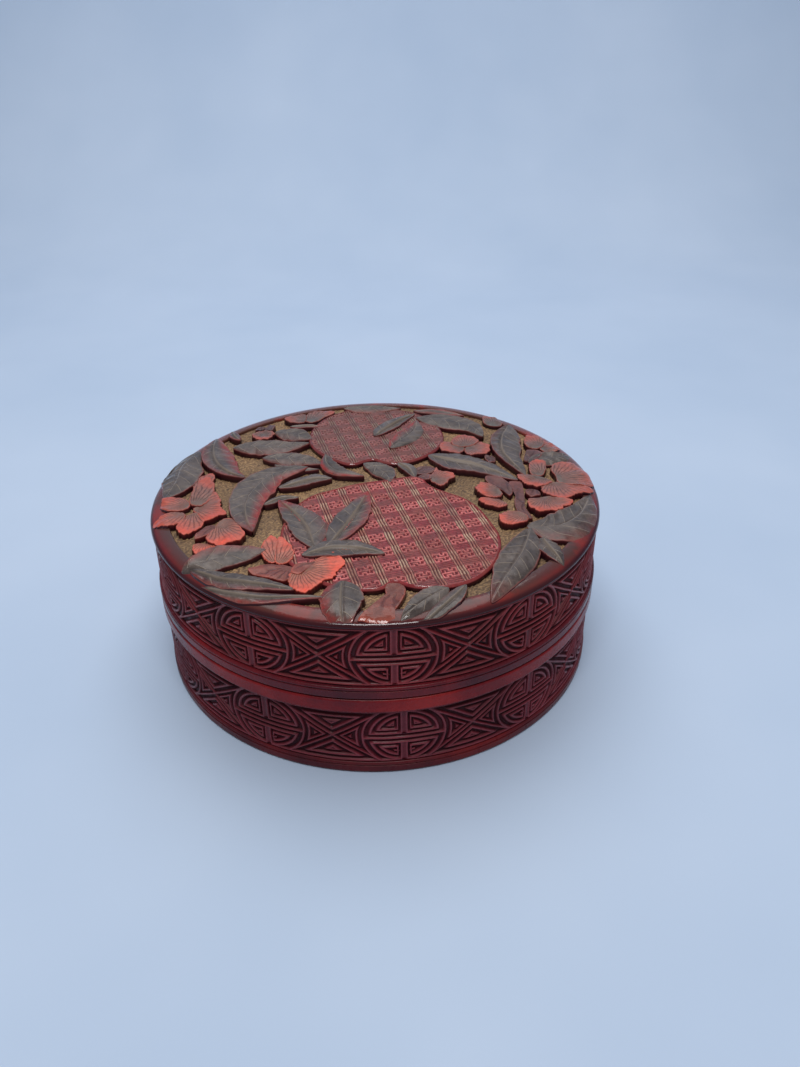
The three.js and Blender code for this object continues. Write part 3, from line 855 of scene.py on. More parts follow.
def upright_bar(flip, bar):
    """The broad top of a roundel's upright bar, between a cross bar and the ring."""
    length = circle_reach(RING, UPRIGHT) - flip * bar
    rows = max(2, int(length / SAMPLE)) + 1
    x = np.linspace(-UPRIGHT, UPRIGHT, BAR_COLUMNS)[None, :]
    share = np.linspace(0, 1, rows)[:, None]
    y = bar + (flip * np.sqrt(RING ** 2 - x ** 2) - bar) * share
    points = np.stack([x + 0 * y, y], axis=-1).reshape(-1, 2)
    depth = BAR_DIP * (1 - (points[:, 0] / UPRIGHT) ** 2)
    return points, depth, grid_faces(rows, BAR_COLUMNS).tolist()


def margin_strip(flip):
    """The outer half of the straight ridge along the band's upper or lower edge."""
    x = np.linspace(-HALF_MODULE, HALF_MODULE, int(2 * HALF_MODULE / SAMPLE))
    levels = ridge_levels(PITCH, 0, False)[0]
    points = np.concatenate([np.stack([x, np.full_like(x, flip * (RING + offset))], axis=-1)
                             for offset, _ in levels])
    depth = np.repeat([depth for _, depth in levels], len(x))
    return points, depth, grid_faces(len(levels), len(x)).tolist()


def build_band(name, node, body, material, phase, seed):
    """One carved band: the lattice repeated round the box over the floor of its grooves."""
    low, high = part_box(node)
    radius = high[0]
    middle = (high[2] + low[2]) / 2
    stretch = (high[2] - low[2]) / 2 / HALF_BAND
    surface = Surface("depth")
    step = 2 * math.pi / ROUNDELS
    module = module_patches()
    for index in range(ROUNDELS):
        centre = FRONT + phase + index * step
        for points, depth, faces in module:
            x, y = points[:, 0], points[:, 1]
            spot = x + index * MODULE_SHIFT
            angle = centre + x / HALF_MODULE * step / 2 + ripples(spot, y, seed, TURN_SHAKE)
            height = middle + y * stretch + ripples(spot, y, seed, HEIGHT_SHAKE)
            out = radius - (depth + ripples(spot, y, seed, WEAR)) * MM
            places = wrapped(out, angle, np.clip(height, low[2], high[2]))
            surface.add(places, faces, depth=depth / GROOVE_DEPTH)
    floor = radius - FLOOR_DEPTH * MM
    rows = [(COAT_INNER_RADIUS, low[2]), (floor, low[2]), (floor, high[2]),
            (COAT_INNER_RADIUS, high[2])]
    ring = np.concatenate([wrapped(r, TURN_ANGLES, h) for r, h in rows])
    surface.add(ring, grid_faces(len(rows), TURNS, True, True), depth=1.0)
    piece = surface.finish(name, material, body)
    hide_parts(node)


# The carved top. Places are in seventy-fifths of the rim radius, x to the right and y to the
# back. A leaf is its middle line from root to tip, its half widths to the left and right, how
# many steps down it lies, and how red it is along its left side, right side and tip.

LEAF_SHARES = [
    ([(-24, 11), (-35, 6), (-40, -3), (-42, -13), (-40.5, -23), (-37.5, -31)], (6.5, 6.5), 0,
     (0.9, 0, 0.5)),
    ([(-61, 38), (-60, 27), (-57, 17), (-52, 9.5), (-45, 4)], (6.5, 4.2), 0, (0.9, 0.5, 0.2)),
    ([(-65.5, 27), (-69, 14), (-68.5, 3), (-70, -8.5)], (8, 6), 0, (0, 0, 0)),
    ([(-53, 28.5), (-44, 28.5), (-35, 28), (-25, 30.5)], (5, 5.5), 0, (0, 0.2, 0)),
    ([(-41, 19.5), (-33, 18.5), (-26, 17), (-19, 13.5)], (4.2, 4.2), 1, (0, 0.2, 0)),
    ([(-32.5, -3.5), (-26, 0), (-20, 2.5), (-15, 2.5)], (4.2, 3.4), 1, (0, 0.1, 0)),
    ([(-36, -15), (-31, -11), (-25, -11)], (1.9, 1.9), 0, (0, 0, 0)),
    ([(-18.5, 20.5), (-17, 12), (-12.5, 6.5), (-4, 3.4)], (3.2, 2.6), 0, (0, 1, 0)),
    ([(-4.5, 14), (0, 10), (3.5, 5), (5, -0.5)], (4.2, 3.2), 2, (0, 0, 0)),
    ([(7.5, 14), (11, 10), (13.5, 3)], (2.8, 2.4), 2, (0, 0, 0)),
    ([(-1, 36), (3, 43), (8, 50), (14.5, 57.5)], (4.4, 3.4), 0, (0, 0, 0)),
    ([(5, 25), (10, 33), (14, 41), (15, 50.5)], (4.4, 4.2), 0, (1, 0, 0.2)),
    ([(15, 53), (22, 51.5), (30, 48.5), (36, 44), (39.5, 35)], (5.4, 5.8), 0, (0, 0, 0)),
    ([(18.5, 19.5), (27, 15.5), (36, 11.5), (48.5, 1)], (6.5, 7), 1, (0, 0.1, 0)),
    ([(50.5, 46.5), (46.5, 34), (45.8, 22), (51.5, 4)], (7.2, 3.8), 0, (0, 0.2, 0)),
    ([(54, 14.5), (60, 18), (66, 20), (71.5, 24)], (4.6, 4.4), 2, (0, 0, 0)),
    ([(47.5, -29.5), (57, -29), (65, -22), (71.5, -8)], (6.6, 7.8), 0.8, (0, 0.3, 0)),
    ([(48.5, -30.5), (44.5, -43), (39.5, -53), (33, -66)], (5.6, 5.6), 0, (0, 0, 0.3)),
    ([(51.5, -35), (53, -41), (56, -48)], (3.6, 3.6), 1, (0, 0, 0)),
    ([(21.5, -61), (15.5, -66), (8, -73.5)], (3.4, 3.8), 0.4, (0, 0, 0)),
    ([(26.5, -59.5), (21.5, -66.5), (13, -75)], (2.4, 2.4), 0.5, (0, 0.2, 0)),
    ([(-8.5, -57.5), (-8.5, -66), (-7.5, -77)], (6.4, 6), 0, (0, 1, 0.9)),
    ([(-53, -49.5), (-42, -55.5), (-32, -58), (-21, -61)], (3.8, 3.6), 0, (0, 0.5, 0)),
    ([(-49, -56.5), (-33, -63.2), (-13, -64.5)], (2, 2.4), 0.5, (0.3, 0.8, 0)),
    ([(-56, -49), (-45, -45), (-32, -41)], (6.2, 4.6), 0.6, (0.5, 0, 0.2)),
    ([(-17.5, -41), (-20.5, -30), (-25, -21), (-31.5, -12.5)], (5.6, 6.2), 0, (0, 0.2, 1)),
    ([(-13, -39), (-9, -29), (-5.5, -19), (-2.5, -8)], (5.6, 5.2), 0, (0, 0.6, 0.9)),
    ([(-21, -44.5), (-12, -41), (-5, -41.4), (3.5, -44.4)], (5.4, 5), 0, (0, 0, 0)),
    ([(-39, 42), (-32, 39.5), (-24.5, 35)], (4.6, 4.8), 1, (0, 0.2, 0)),
    ([(-14, 64), (-4, 63), (9, 63.5)], (3.2, 3.2), 0, (0, 0.4, 0)),
    ([(-56, 44), (-54, 39), (-51.5, 35)], (1.9, 1.9), 0, (0.6, 0.6, 0.6)),
    ([(-34, 47), (-28, 47.6), (-22.5, 47)], (1.8, 2), 1, (0.4, 0.4, 0.4)),
    ([(14, 62), (24, 61), (34, 57)], (2, 2.2), 2, (0.8, 0.5, 0.5)),
    ([(-36, 14), (-29, 11), (-20, 10)], (1.6, 1.8), 2, (0.4, 0, 0)),
]

# A petal is a closed outline, the place that its carved lines fan out from, and its steps down
PETAL_SHARES = [
    ([(-61.5, -2), (-58.5, 5.5), (-55, 0), (-54.5, -8), (-57, -13.5), (-60.5, -12)],
     (-59.5, -15), 0),
    ([(-54.5, -4), (-51.5, -9), (-50, -15), (-47.5, -19), (-50, -21), (-54, -23), (-56.5, -19),
      (-59, -15), (-57, -11)], (-60, -14), 1),
    ([(-70, -8), (-65, -7.5), (-61.5, -10), (-61, -14), (-65, -16), (-68.5, -15.5), (-70.5, -12)],
     (-60, -13), 1),
    ([(-70, -21), (-67, -18), (-62, -17.5), (-60.5, -21), (-62, -24), (-65, -25.5), (-69, -24.5),
      (-71, -23)], (-59.5, -16), 0),
    ([(-60.5, -19), (-57.5, -17.5), (-54.5, -21), (-54, -25), (-56, -29), (-57.5, -30.5),
      (-61, -29), (-62, -26)], (-59, -15.5), 1),
    ([(-47, -22), (-44, -23), (-42, -27), (-39.5, -33), (-41, -35.5), (-46, -37.5), (-50, -36),
      (-51.5, -33), (-50, -28), (-49, -24)], (-49.5, -24.5), 0),
    ([(-54.5, -36), (-51, -35.5), (-47, -37.5), (-48, -41.5), (-51, -42.5), (-54, -40)],
     (-51, -33), 2),
    ([(-31, -33.5), (-33.5, -38), (-33, -43), (-30, -47), (-28, -46), (-28, -39)],
     (-28, -49), 1),
    ([(-28.5, -35), (-25.5, -38), (-23.5, -43), (-24.5, -47), (-28, -48), (-29, -41)],
     (-28, -50), 0),
    ([(-17, -47), (-12, -43.5), (-9.5, -46), (-8.3, -49), (-10, -52), (-11, -56), (-14, -57.5),
      (-16, -60), (-18, -62.3), (-21, -62), (-23.5, -58), (-23.8, -54), (-21.5, -51)],
     (-21.5, -50.5), 0),
    ([(18.3, 2), (20, 6.5), (21, 9), (22.5, 6), (26, 5.7), (27, 2.5), (25, 0.5), (24, -1.5),
      (22, -3.6), (20, -1.5)], (18.5, 0.5), 0),
    ([(33.5, -5), (35, -2.5), (38, -2), (41, -5), (42, -9), (40, -11), (36, -10), (34, -8)],
     (42.5, -7), 0),
    ([(34, -12), (37, -11.3), (41, -12.3), (43, -15.5), (41, -17), (37, -16), (34.5, -14.5)],
     (43, -10.5), 1),
    ([(50, -13), (52, -12.5), (55, -11), (57.5, -10), (60, -10.5), (62.5, -12), (64, -13),
      (63.5, -16), (61, -17), (60, -19), (56, -19.8), (52, -20), (50, -17)], (56, -11), -0.8),
    ([(62, 3), (61, 9), (64, 13.5), (69, 14), (73, 10), (74.6, 2), (72, -2), (66, -2), (62, 0)],
     (60.5, 1), -0.9),
    ([(61, 0), (66, -2), (72, -3), (72, -6), (66.5, -9), (63, -11.5), (58, -10), (55.5, -6.5),
      (57, -2)], (60, 1.5), -0.3),
    ([(48.5, 3), (50, 5), (53, 5), (57, 3.5), (60, 0.5), (57.5, -2.5), (54.5, -3.8), (51, -2),
      (49.5, 0.5)], (57, 4), 0),
    ([(57, 16.5), (59.5, 14), (59, 8.5), (57, 5), (54, 5.5), (53.5, 10), (54.5, 14)],
     (57.5, 3.5), 0),
    ([(39.5, -24), (41.5, -20.5), (46, -20), (48.5, -22.5), (48, -26), (43.5, -28),
      (40.5, -27.5)], (48, -20.5), 0),
    ([(27.5, 29), (28.5, 34), (32, 36.2), (36, 35), (37.5, 31.5), (35, 28), (31, 27)],
     (32, 26), 0),
    ([(23.5, 29), (26, 31.5), (29.5, 29), (32, 27), (30, 22), (26, 22.3), (23.2, 25)],
     (32.5, 27), 1),
    ([(34, 28.5), (38, 31), (41, 28), (40.5, 23), (37, 20.3), (33, 21), (32, 25)],
     (32, 27.5), 1),
    ([(-47.3, 39), (-46, 42.5), (-43, 43.4), (-40, 42), (-39.5, 38.5), (-41.5, 35.5),
      (-45, 35.2)], (-43.5, 40), 0),
    ([(-37, 54.5), (-33, 57.5), (-29, 58), (-28.5, 53), (-30, 50.8), (-34, 51.2)],
     (-27, 52), 0),
    ([(-29, 57.5), (-26.5, 61), (-21, 62), (-17.5, 60), (-21.5, 55.5), (-26, 51.5),
      (-28.5, 53)], (-27, 51.5), 1),
    ([(41, 51), (43, 56.5), (46, 55), (48.5, 50), (47, 47), (43, 47.5)], (45, 47), 1),
    ([(54.5, 31), (57, 37), (61, 36), (62, 31), (59, 26.5), (55.5, 27)], (60, 26), 0),
    ([(61.5, 33), (65.5, 31), (67, 26), (63, 23.5), (60, 26)], (59.5, 26.5), 1),
    ([(-63, 1), (-61, 7), (-57, 9), (-56, 4), (-58, -1)], (-60, -4), 2),
]

# Dull pieces: stalks, cups under the blossoms and twigs
STALK_SHARES = [
    ([(3.8, -60), (4.6, -58.5), (7.5, -58.3), (9.2, -60.2), (9.3, -63), (8, -67), (6.5, -70),
      (6.2, -73.7), (0, -74), (-3.5, -73.4), (0, -71), (3, -68), (4, -64)], (6.5, -60), 1),
    ([(-36, -51), (-33, -49), (-28, -48.5), (-24, -49.5), (-21.5, -51.5), (-24, -56), (-29, -55.2),
      (-33, -53.5)], (-24, -50), 1),
    ([(-22, -49), (-18.5, -48.4), (-15.3, -46.6), (-16, -49), (-19, -51.5), (-21, -54),
      (-23.3, -53)], (-15, -46), 0),
    ([(38, -1), (37.6, 3), (40.5, 4), (44, 0.5), (46, -4), (44.5, -9.5), (42, -5)],
     (44.5, -10), 1),
    ([(45.6, 0), (49, 0.5), (49.4, -8), (48.6, -16), (50, -23), (47, -22.5), (45.6, -14),
      (46.6, -8)], (48, -22), 2),
    ([(12.6, 8), (15, 10.5), (19, 11.2), (21, 9.2), (19, 6.4), (15, 5.8)], (13, 7), 2),
    ([(14.5, 3.4), (17, 5.4), (19.5, 4.2), (18.5, 1), (16, 1.2)], (14, 2), 1),
    ([(-54.3, -29), (-51, -25.6), (-49.3, -27.5), (-51.6, -31.6), (-54.8, -33.6)], (-50, -26), 1),
    ([(51, -5), (54, -5.6), (54.6, -9), (51.6, -10), (50, -8)], (54, -4), 1),
    ([(-47, 44.5), (-46, 47.5), (-43.4, 47), (-42, 49.6), (-40, 48), (-41, 44.4), (-44, 45.4)],
     (-43.5, 43), 1),
    ([(53, 16.5), (58, 18.5), (60, 24), (55.5, 25.5), (53.4, 21)], (54, 17), 2),
    ([(39, 20), (42, 19.6), (42, 15.4), (40, 14.6)], (41, 18), 2),
]
NEAR_FRUIT_SHARES = [
    (6.5, -57.6), (10, -59.4), (14, -60.5), (22, -60), (28, -57.5), (32, -54), (36, -48),
    (38.3, -40), (38.5, -33), (37, -27), (35, -21), (32.5, -15.5), (29, -11), (24, -7.5),
    (20, -4.5), (17.5, -1), (16.5, 1.5), (14, 3.3), (9, 3), (4, 1.2), (-2, 0), (-8, -2),
    (-15, -5.5), (-21, -9), (-26, -16), (-28.5, -26), (-28.5, -35), (-26.5, -44),
    (-20, -53), (-13, -58.5), (-7, -60.8), (-1, -61.4), (3, -60.6),
]
FAR_FRUIT_SHARES = [
    (-4, 15.4), (-1, 16.6), (2, 14.6), (6, 13.2), (11, 14.4), (17, 18.5), (22, 25), (24.6, 33),
    (24.3, 42), (21, 51), (15, 59), (8, 62.8), (-2, 64.5), (-11, 63), (-18.5, 58), (-23.5, 50),
    (-25.7, 40), (-24.8, 31), (-21, 23), (-15, 16.6), (-10, 13.2), (-7, 13.4),
]
RIM_PARTS = 75

# Each shape's noise has its own seed: the first one and the step to the next
LEAF_SEEDS = (0, 3.7)
PETAL_SEEDS = (40, 2.3)
STALK_SEEDS = (90, 1.9)

# Levels of the motifs, the border and the ground
LEAF_LIFT = 0.2 * MM
STEP_DOWN = 0.28 * MM
EDGE_RING_RADIUS = 69.3 * MM
BORDER_SINK = 0.8 * MM
RIM_SINK = 0.15 * MM
RIM_MARGIN = 0.7 * MM
GROUND_REACH_SHARE = 1.1
LEAST_SPAN = 1e-9

# Walls below the motifs' edges, with the parts of brink and foot in their upper rows
WALL_DEPTHS = [0.05, 0.15, 0.6, 1.0]
WALL_ROW_SHARES = ((0.82, 0.18), (0.4, 0.6))
WALL_SINK = 0.4 * MM
BORDER_WALL_SINK = 0.3 * MM
LEAST_WALL = 0.3 * MM
LEAST_DROP = 0.02 * MM
WALL_FLARE = 0.25 * MM
FLARE_SHARE = 0.5
EDGE_ROUND = 0.11 * MM
ROUND_SHARE = 0.7

# Leaves. Swells and shakes are layers of noise: bump size, height and a shift of the seed.
LEAF_ROWS = 120
LEAF_COLUMNS = 37
LEAF_CROWDING = 1.3
TIP_POWER = 0.85
FULLNESS_POWER = 0.8
LEAF_SWELL = ((6 * MM, 0.24 * MM, 0), (2.2 * MM, 0.07 * MM, 7))
FULL_BREADTH = 9 * MM
VEINED_BREADTH = 6 * MM
PROUD_SEED_STEP = 2.1
PROUD_SHARES = (0.62, 1.1)
LOW_SHARES = (0.22, 0.75)
MIDRIB = 0.22 * MM
MIDRIB_RISE = 0.22 * MM
HALVES_BLEND = 1.3 * MIDRIB
CREASE_PLACE = 2 * MIDRIB
CREASE_WIDTH = 1.6 * MIDRIB
CREASE_SHARE = 0.4
RIB_SHARE = 0.07
EDGE_FALL = 0.1 * MM
VEIN_STEP = 5.6 * MM
VEIN_SLANT_SHARE = 0.75
VEIN_BEND_SHARE = 0.25
VEIN_STAGGER_SHARE = 0.4
VEIN_SHAKE_SHARE = 0.16
VEIN_SHAKE_SIZE = 6 * MM

# Waves along a leaf's edges: how many, how high, and how far apart the two sides' noise lies
LEAF_EDGE_SHARES = ((4, 0.13, 7), (11, 0.09, 5), (31, 0.04, 3))

# Petals and stalks, with the folds round the root: how many, their seed's share and depth
PETAL_RINGS = 30
PETAL_POINTS = 144
PETAL_CROWDING = 1.5
PETAL_CUP = 0.5 * MM
PETAL_SCALLOP_SHARE = 0.09
STALK_CUP = 0.3 * MM
STALK_SCALLOP_SHARE = 0.03
SCALLOP_CIRCLE = 3
SCALLOP_SHARES = ((0.6, 1, 0), (0.22, 0.6, 0))
HUB_SHARE = 0.35
BOWL_LEVEL_SHARE = 0.75
PETAL_SWELL = ((4 * MM, 0.3 * MM, 0), (1.6 * MM, 0.08 * MM, 6))
FOLDS = ((7, 1, 0.13 * MM), (13, 2, 0.14 * MM))
LIP_FALL = 0.08 * MM


def ground_height(radius):
    """Height of the ground between the motifs."""
    inner = np.clip(radius / BORDER_INNER_RADIUS, 0, GROUND_REACH_SHARE)
    return GROUND_TOP + CROWN_RISE * (1 - inner ** 2)


def border_height(radius):
    """Height of the plain border, a little below the leaves that cross it."""
    ease = smoothstep(EDGE_RING_RADIUS, RIM_RADIUS, radius)
    return crown_height(radius) - BORDER_SINK * (1 - ease) - RIM_SINK * ease


def place(shares):
    """Points or widths given in parts of the rim radius, in metres."""
    return np.array(shares, dtype=float) * RIM_RADIUS / RIM_PARTS


def spline(points, count, closed):
    """Centripetal Catmull-Rom curve through the points."""
    if closed:
        padded = np.vstack([points[-1], points, points[0], points[1]])
        spans = len(points)
    else:
        padded = np.vstack([2 * points[0] - points[1], points, 2 * points[-1] - points[-2]])
        spans = len(points) - 1
    curve = []
    for step in np.linspace(0, spans, count, endpoint=not closed):
        index = min(int(step), spans - 1)
        near = padded[index:index + 4]
        knots = [0.0]
        for a, b in zip(near, near[1:]):
            knots.append(knots[-1] + max(np.linalg.norm(b - a), LEAST_SPAN) ** 0.5)
        t = knots[1] + (knots[2] - knots[1]) * (step - index)
        for starts, ends in (((0, 1, 2), (1, 2, 3)), ((0, 1), (2, 3)), ((1,), (2,))):
            near = [near[k] + (near[k + 1] - near[k]) * (t - knots[a]) / (knots[b] - knots[a])
                    for k, (a, b) in enumerate(zip(starts, ends))]
        curve.append(near[0])
    return np.array(curve)


def held_inside(xy):
    """Places drawn in to just inside the rim where they would cross it."""
    radius = np.linalg.norm(xy, axis=-1, keepdims=True)
    return xy * np.minimum(1, (RIM_RADIUS - RIM_MARGIN) / np.maximum(radius, MM))


def wall_foot(x, y):
    """How low a wall goes: into the ground, or just into the border."""
    radius = np.hypot(x, y)
    return np.where(radius < EDGE_RING_RADIUS, ground_height(radius) - WALL_SINK,
                    border_height(radius) - BORDER_WALL_SINK)


def wall_columns(edge, outward):
    """Points that go down from an edge to the ground, rounded at the top."""
    brink = edge[:, 2]
    foot = np.minimum(wall_foot(edge[:, 0], edge[:, 1]), brink - LEAST_WALL)
    rounded = brink - EDGE_ROUND
    below, middle = (brink * upper + foot * lower for upper, lower in WALL_ROW_SHARES)
    reaches = (ROUND_SHARE * EDGE_ROUND, EDGE_ROUND, EDGE_ROUND + FLARE_SHARE * WALL_FLARE,
               EDGE_ROUND + WALL_FLARE)
    heights = (rounded, np.minimum(below, rounded - LEAST_DROP), middle, foot)
    return [np.column_stack([edge[:, :2] + outward * reach, height])
            for reach, height in zip(reaches, heights)]


def wavy_side(u, side, seed):
    """How much wider or narrower a leaf's side is along its length."""
    return sum((height * waves(u * count, np.full_like(u, side * apart), 1, seed)
                for count, height, apart in LEAF_EDGE_SHARES), 1)


def leaf_relief(across, outer, fullness, breadth, ribs, seed):
    """A leaf's two unequal halves, the crease between them and its side ribs."""
    proud = math.copysign(1, math.sin(seed * PROUD_SEED_STEP))
    high = smoothstep(-HALVES_BLEND, HALVES_BLEND, across * proud)
    halves = (high * (PROUD_SHARES[0] - PROUD_SHARES[1] * outer ** 2)
              + (1 - high) * (LOW_SHARES[1] * outer ** 2 - LOW_SHARES[0]))
    crease = np.exp(-((across * proud + CREASE_PLACE) / CREASE_WIDTH) ** 2)
    size = min(1.0, breadth / FULL_BREADTH)
    return size * fullness * MM * (halves - CREASE_SHARE * crease - RIB_SHARE * ribs)


def leaf_patch(line, spread, steps, reds, seed):
    """Points, faces and marks of one carved leaf."""
    middle = spline(place(line), LEAF_ROWS, False)
    left_way = left_of(unit(np.gradient(middle, axis=0)))
    length = np.linalg.norm(np.diff(middle, axis=0), axis=1).sum()
    halves = place(spread)
    u = np.linspace(0, 1, LEAF_ROWS)[:, None]
    v = np.linspace(-1, 1, LEAF_COLUMNS)
    v = np.sign(v) * (1 - (1 - np.abs(v)) ** LEAF_CROWDING)
    outer = np.abs(v)[None, :]
    fullness = np.sin(math.pi * u ** TIP_POWER) ** FULLNESS_POWER
    left, right = (half * fullness * wavy_side(u, side, seed)
                   for side, half in enumerate(halves, start=1))
    across = np.where(v < 0, right, left) * v
    xy = held_inside(middle[:, None, :] + left_way[:, None, :] * across[..., None])
    x, y = xy[..., 0], xy[..., 1]

    rib = np.exp(-(across / MIDRIB) ** 2)
    rib_share = smoothstep(0.02, 0.12, u) * (1 - smoothstep(0.85, 0.98, u))
    slant = VEIN_SLANT_SHARE * np.abs(across) / (1 - VEIN_BEND_SHARE * outer)
    phase = (u * length - slant) / VEIN_STEP + np.where(across > 0, VEIN_STAGGER_SHARE, 0)
    phase = phase + VEIN_SHAKE_SHARE * waves(x, y, VEIN_SHAKE_SIZE, seed) + seed
    veined = smoothstep(0.06, 0.2, outer) * (1 - smoothstep(0.75, 0.95, outer))
    veined = veined * rib_share * (halves.sum() > VEINED_BREADTH)
    ribs = np.cos(phase * 2 * math.pi) * smoothstep(0.1, 0.5, outer) * rib_share

    height = crown_height(np.hypot(x, y)) + LEAF_LIFT - steps * STEP_DOWN
    height += ripples(x, y, seed, LEAF_SWELL)
    height += leaf_relief(across, outer, fullness, halves.sum(), ribs, seed)
    height += MIDRIB_RISE * rib * rib_share
    height -= EDGE_FALL * smoothstep(0.85, 1.0, outer)
    sides = np.where(v < 0, reds[1], reds[0]) * smoothstep(0.25, 0.95, outer)
    red = np.clip(sides + reds[2] * smoothstep(0.72, 0.95, u), 0, 1)

    top = np.dstack([xy, height])
    walls = [wall_columns(top[:, index], left_way * way) for index, way in ((0, -1), (-1, 1))]
    columns = walls[0][::-1] + [top[:, k] for k in range(LEAF_COLUMNS)] + walls[1]
    points = np.stack(columns, axis=1)

    def pad(values, below=0):
        """Extend a mark from the leaf's face down its walls."""
        side = np.broadcast_to(below, (LEAF_ROWS, len(WALL_DEPTHS)))
        return np.hstack([side[:, ::-1], np.broadcast_to(values, height.shape), side]).ravel()

    faces = grid_faces(LEAF_ROWS, points.shape[1])[:, ::-1]
    return points.reshape(-1, 3), faces, {
        "depth": pad(0, WALL_DEPTHS),
        "line": pad(np.clip(rib * rib_share, 0, 1)),
        "edge": pad(smoothstep(0.92, 1.0, outer), 1),
        "red": pad(red),
        "phase": pad(phase),
        "veined": pad(veined),
    }


def petal_patch(outline, root, steps, seed, cup, scallop):
    """Points, faces and marks of one carved petal, a thin slab with a crisp edge."""
    edge = spline(place(outline), PETAL_POINTS, True)
    middle = edge.mean(axis=0)
    centre = place(root)
    inside, _ = outline_distance(centre[None, :], edge)
    hub = centre if inside[0] else middle + (centre - middle) * HUB_SHARE
    if signed_area(edge) < 0:
        edge = edge[::-1]
    angle = np.arctan2(edge[:, 1] - hub[1], edge[:, 0] - hub[0])
    circle = (np.cos(angle) * SCALLOP_CIRCLE, np.sin(angle) * SCALLOP_CIRCLE)
    ragged = 1 + scallop * ripples(*circle, seed, SCALLOP_SHARES)
    edge = held_inside(hub + (edge - hub) * ragged[:, None])
    s = 1 - (1 - np.linspace(0, 1, PETAL_RINGS)[:, None]) ** PETAL_CROWDING
    xy = hub + (edge - hub)[None, :, :] * s[..., None]
    x, y = xy[..., 0], xy[..., 1]

    away = (xy - centre) / np.linalg.norm(edge - centre, axis=1).max()
    far = np.linalg.norm(away, axis=-1)
    round_root = np.arctan2(away[..., 1], away[..., 0])
    broad, fine = (np.cos(round_root * count + share * seed) * depth
                   for count, share, depth in FOLDS)
    fold = (broad + fine * smoothstep(0.5, 1.0, far)) * smoothstep(0.15, 0.5, far)
    bowl = cup * (smoothstep(0.1, 0.95, far) - BOWL_LEVEL_SHARE)
    height = crown_height(np.hypot(x, y)) + LEAF_LIFT - steps * STEP_DOWN
    height = height + bowl - LIP_FALL * smoothstep(0.92, 1.0, s)
    height = height + ripples(x, y, seed, PETAL_SWELL) + fold

    top = np.dstack([xy, height])
    points = np.concatenate([top, np.stack(wall_columns(top[-1], unit(edge - hub)))])

    def pad(values, below=1):
        """Extend a mark down the walls."""
        walls = np.broadcast_to(np.reshape(below, (-1, 1)), (len(WALL_DEPTHS), PETAL_POINTS))
        return np.vstack([np.broadcast_to(values, height.shape), walls]).ravel()

    faces = grid_faces(len(points), PETAL_POINTS, closed_columns=True)[:, ::-1]
    return points.reshape(-1, 3), faces, {
        "depth": pad(0, WALL_DEPTHS),
        "edge": pad(smoothstep(0.86, 0.98, s)),
        "fan_x": pad(away[..., 0]),
        "fan_y": pad(away[..., 1]),
    }


def signed_area(edge):
    """Twice the area of an outline, positive when it runs counterclockwise."""
    ahead = np.roll(edge, -1, axis=0)
    return np.sum(edge[:, 0] * ahead[:, 1] - ahead[:, 0] * edge[:, 1])


# Diaper on the fruits: squares of fret between bands of parallel lines

FRUIT_POINTS = 240
NEAR_FRUIT_ORIGIN = (1.6 * MM, -1.2 * MM)
FAR_FRUIT_ORIGIN = (3.0 * MM, 1.0 * MM)
NEAR_FRUIT_SEED = 3
FAR_FRUIT_SEED = 8
DIAPER_TILT = math.radians(16)
LINE_PITCH = 0.86 * MM
RIDGE_TUCK_SHARE = 0.1
DIAPER_PERIOD = 7.7 * MM
UPRIGHT_WIDTH = 2.64 * MM
CROSS_WIDTH = 3.4 * MM
WALL_SHARE = 0.32
DIAPER_DEPTH = 0.42 * MM
DIAPER_SHAKE = ((4 * MM, 0.24 * MM, 0), (1.3 * MM, 0.12 * MM, 2))
SHAKE_APART = 9
WORN_SIZE = 7 * MM
WORN_SHARE = 0.35
WORN_SHIFT = 4
CROSS_BAND_DEPTH_SHARE = 0.6
CROSS_BAND_LEAST_SHARE = 0.25
FRUIT_DROP = 0.55 * MM
FRUIT_RIM = 0.7 * MM
FIELD_START = 1.3 * FRUIT_RIM
FIELD_CUT = 0.6 * FRUIT_RIM
RIM_WALL_TOP = 0.3 * MM
FRET_ZONE = 0
CROSS_BAND_ZONE = 0.5
CROSSING_ZONE = 0.72
UPRIGHT_ZONE = 1
KEY_FRET = (
    "111011111",
    "101010001",
    "101110101",
    "100000100",
    "111111111",
    "001000001",
    "101011101",
    "100010101",
    "111110111",
)
FRET_SIZE = len(KEY_FRET)

# Rows of a fruit's rim: inset as a share of its width, rise in millimetres, and edge mark
FRUIT_RIM_SHARES = ((1.5, -0.5, 0), (1.25, -0.2, 0), (1.1, 0.1, 0.2), (0.95, 0.2, 0.4),
                    (0.85, 0.2, 0.5), (0.78, 0.16, 0.7), (0.1, -0.22, 1))

# The ground's crossing waves, with the seeds by which they bend
GROUND_STEP = 0.395 * MM
GROUND_OVERLAP = 0.4 * MM
GROUND_WAVE = 1.3 * MM
GROUND_BEND = ((1.9 * MM, 1.5 * MM, 0),)
GROUND_SEEDS = (2, 12)
GROUND_CUT = 0.34 * MM
GROUND_LEVEL_SHARE = 0.7


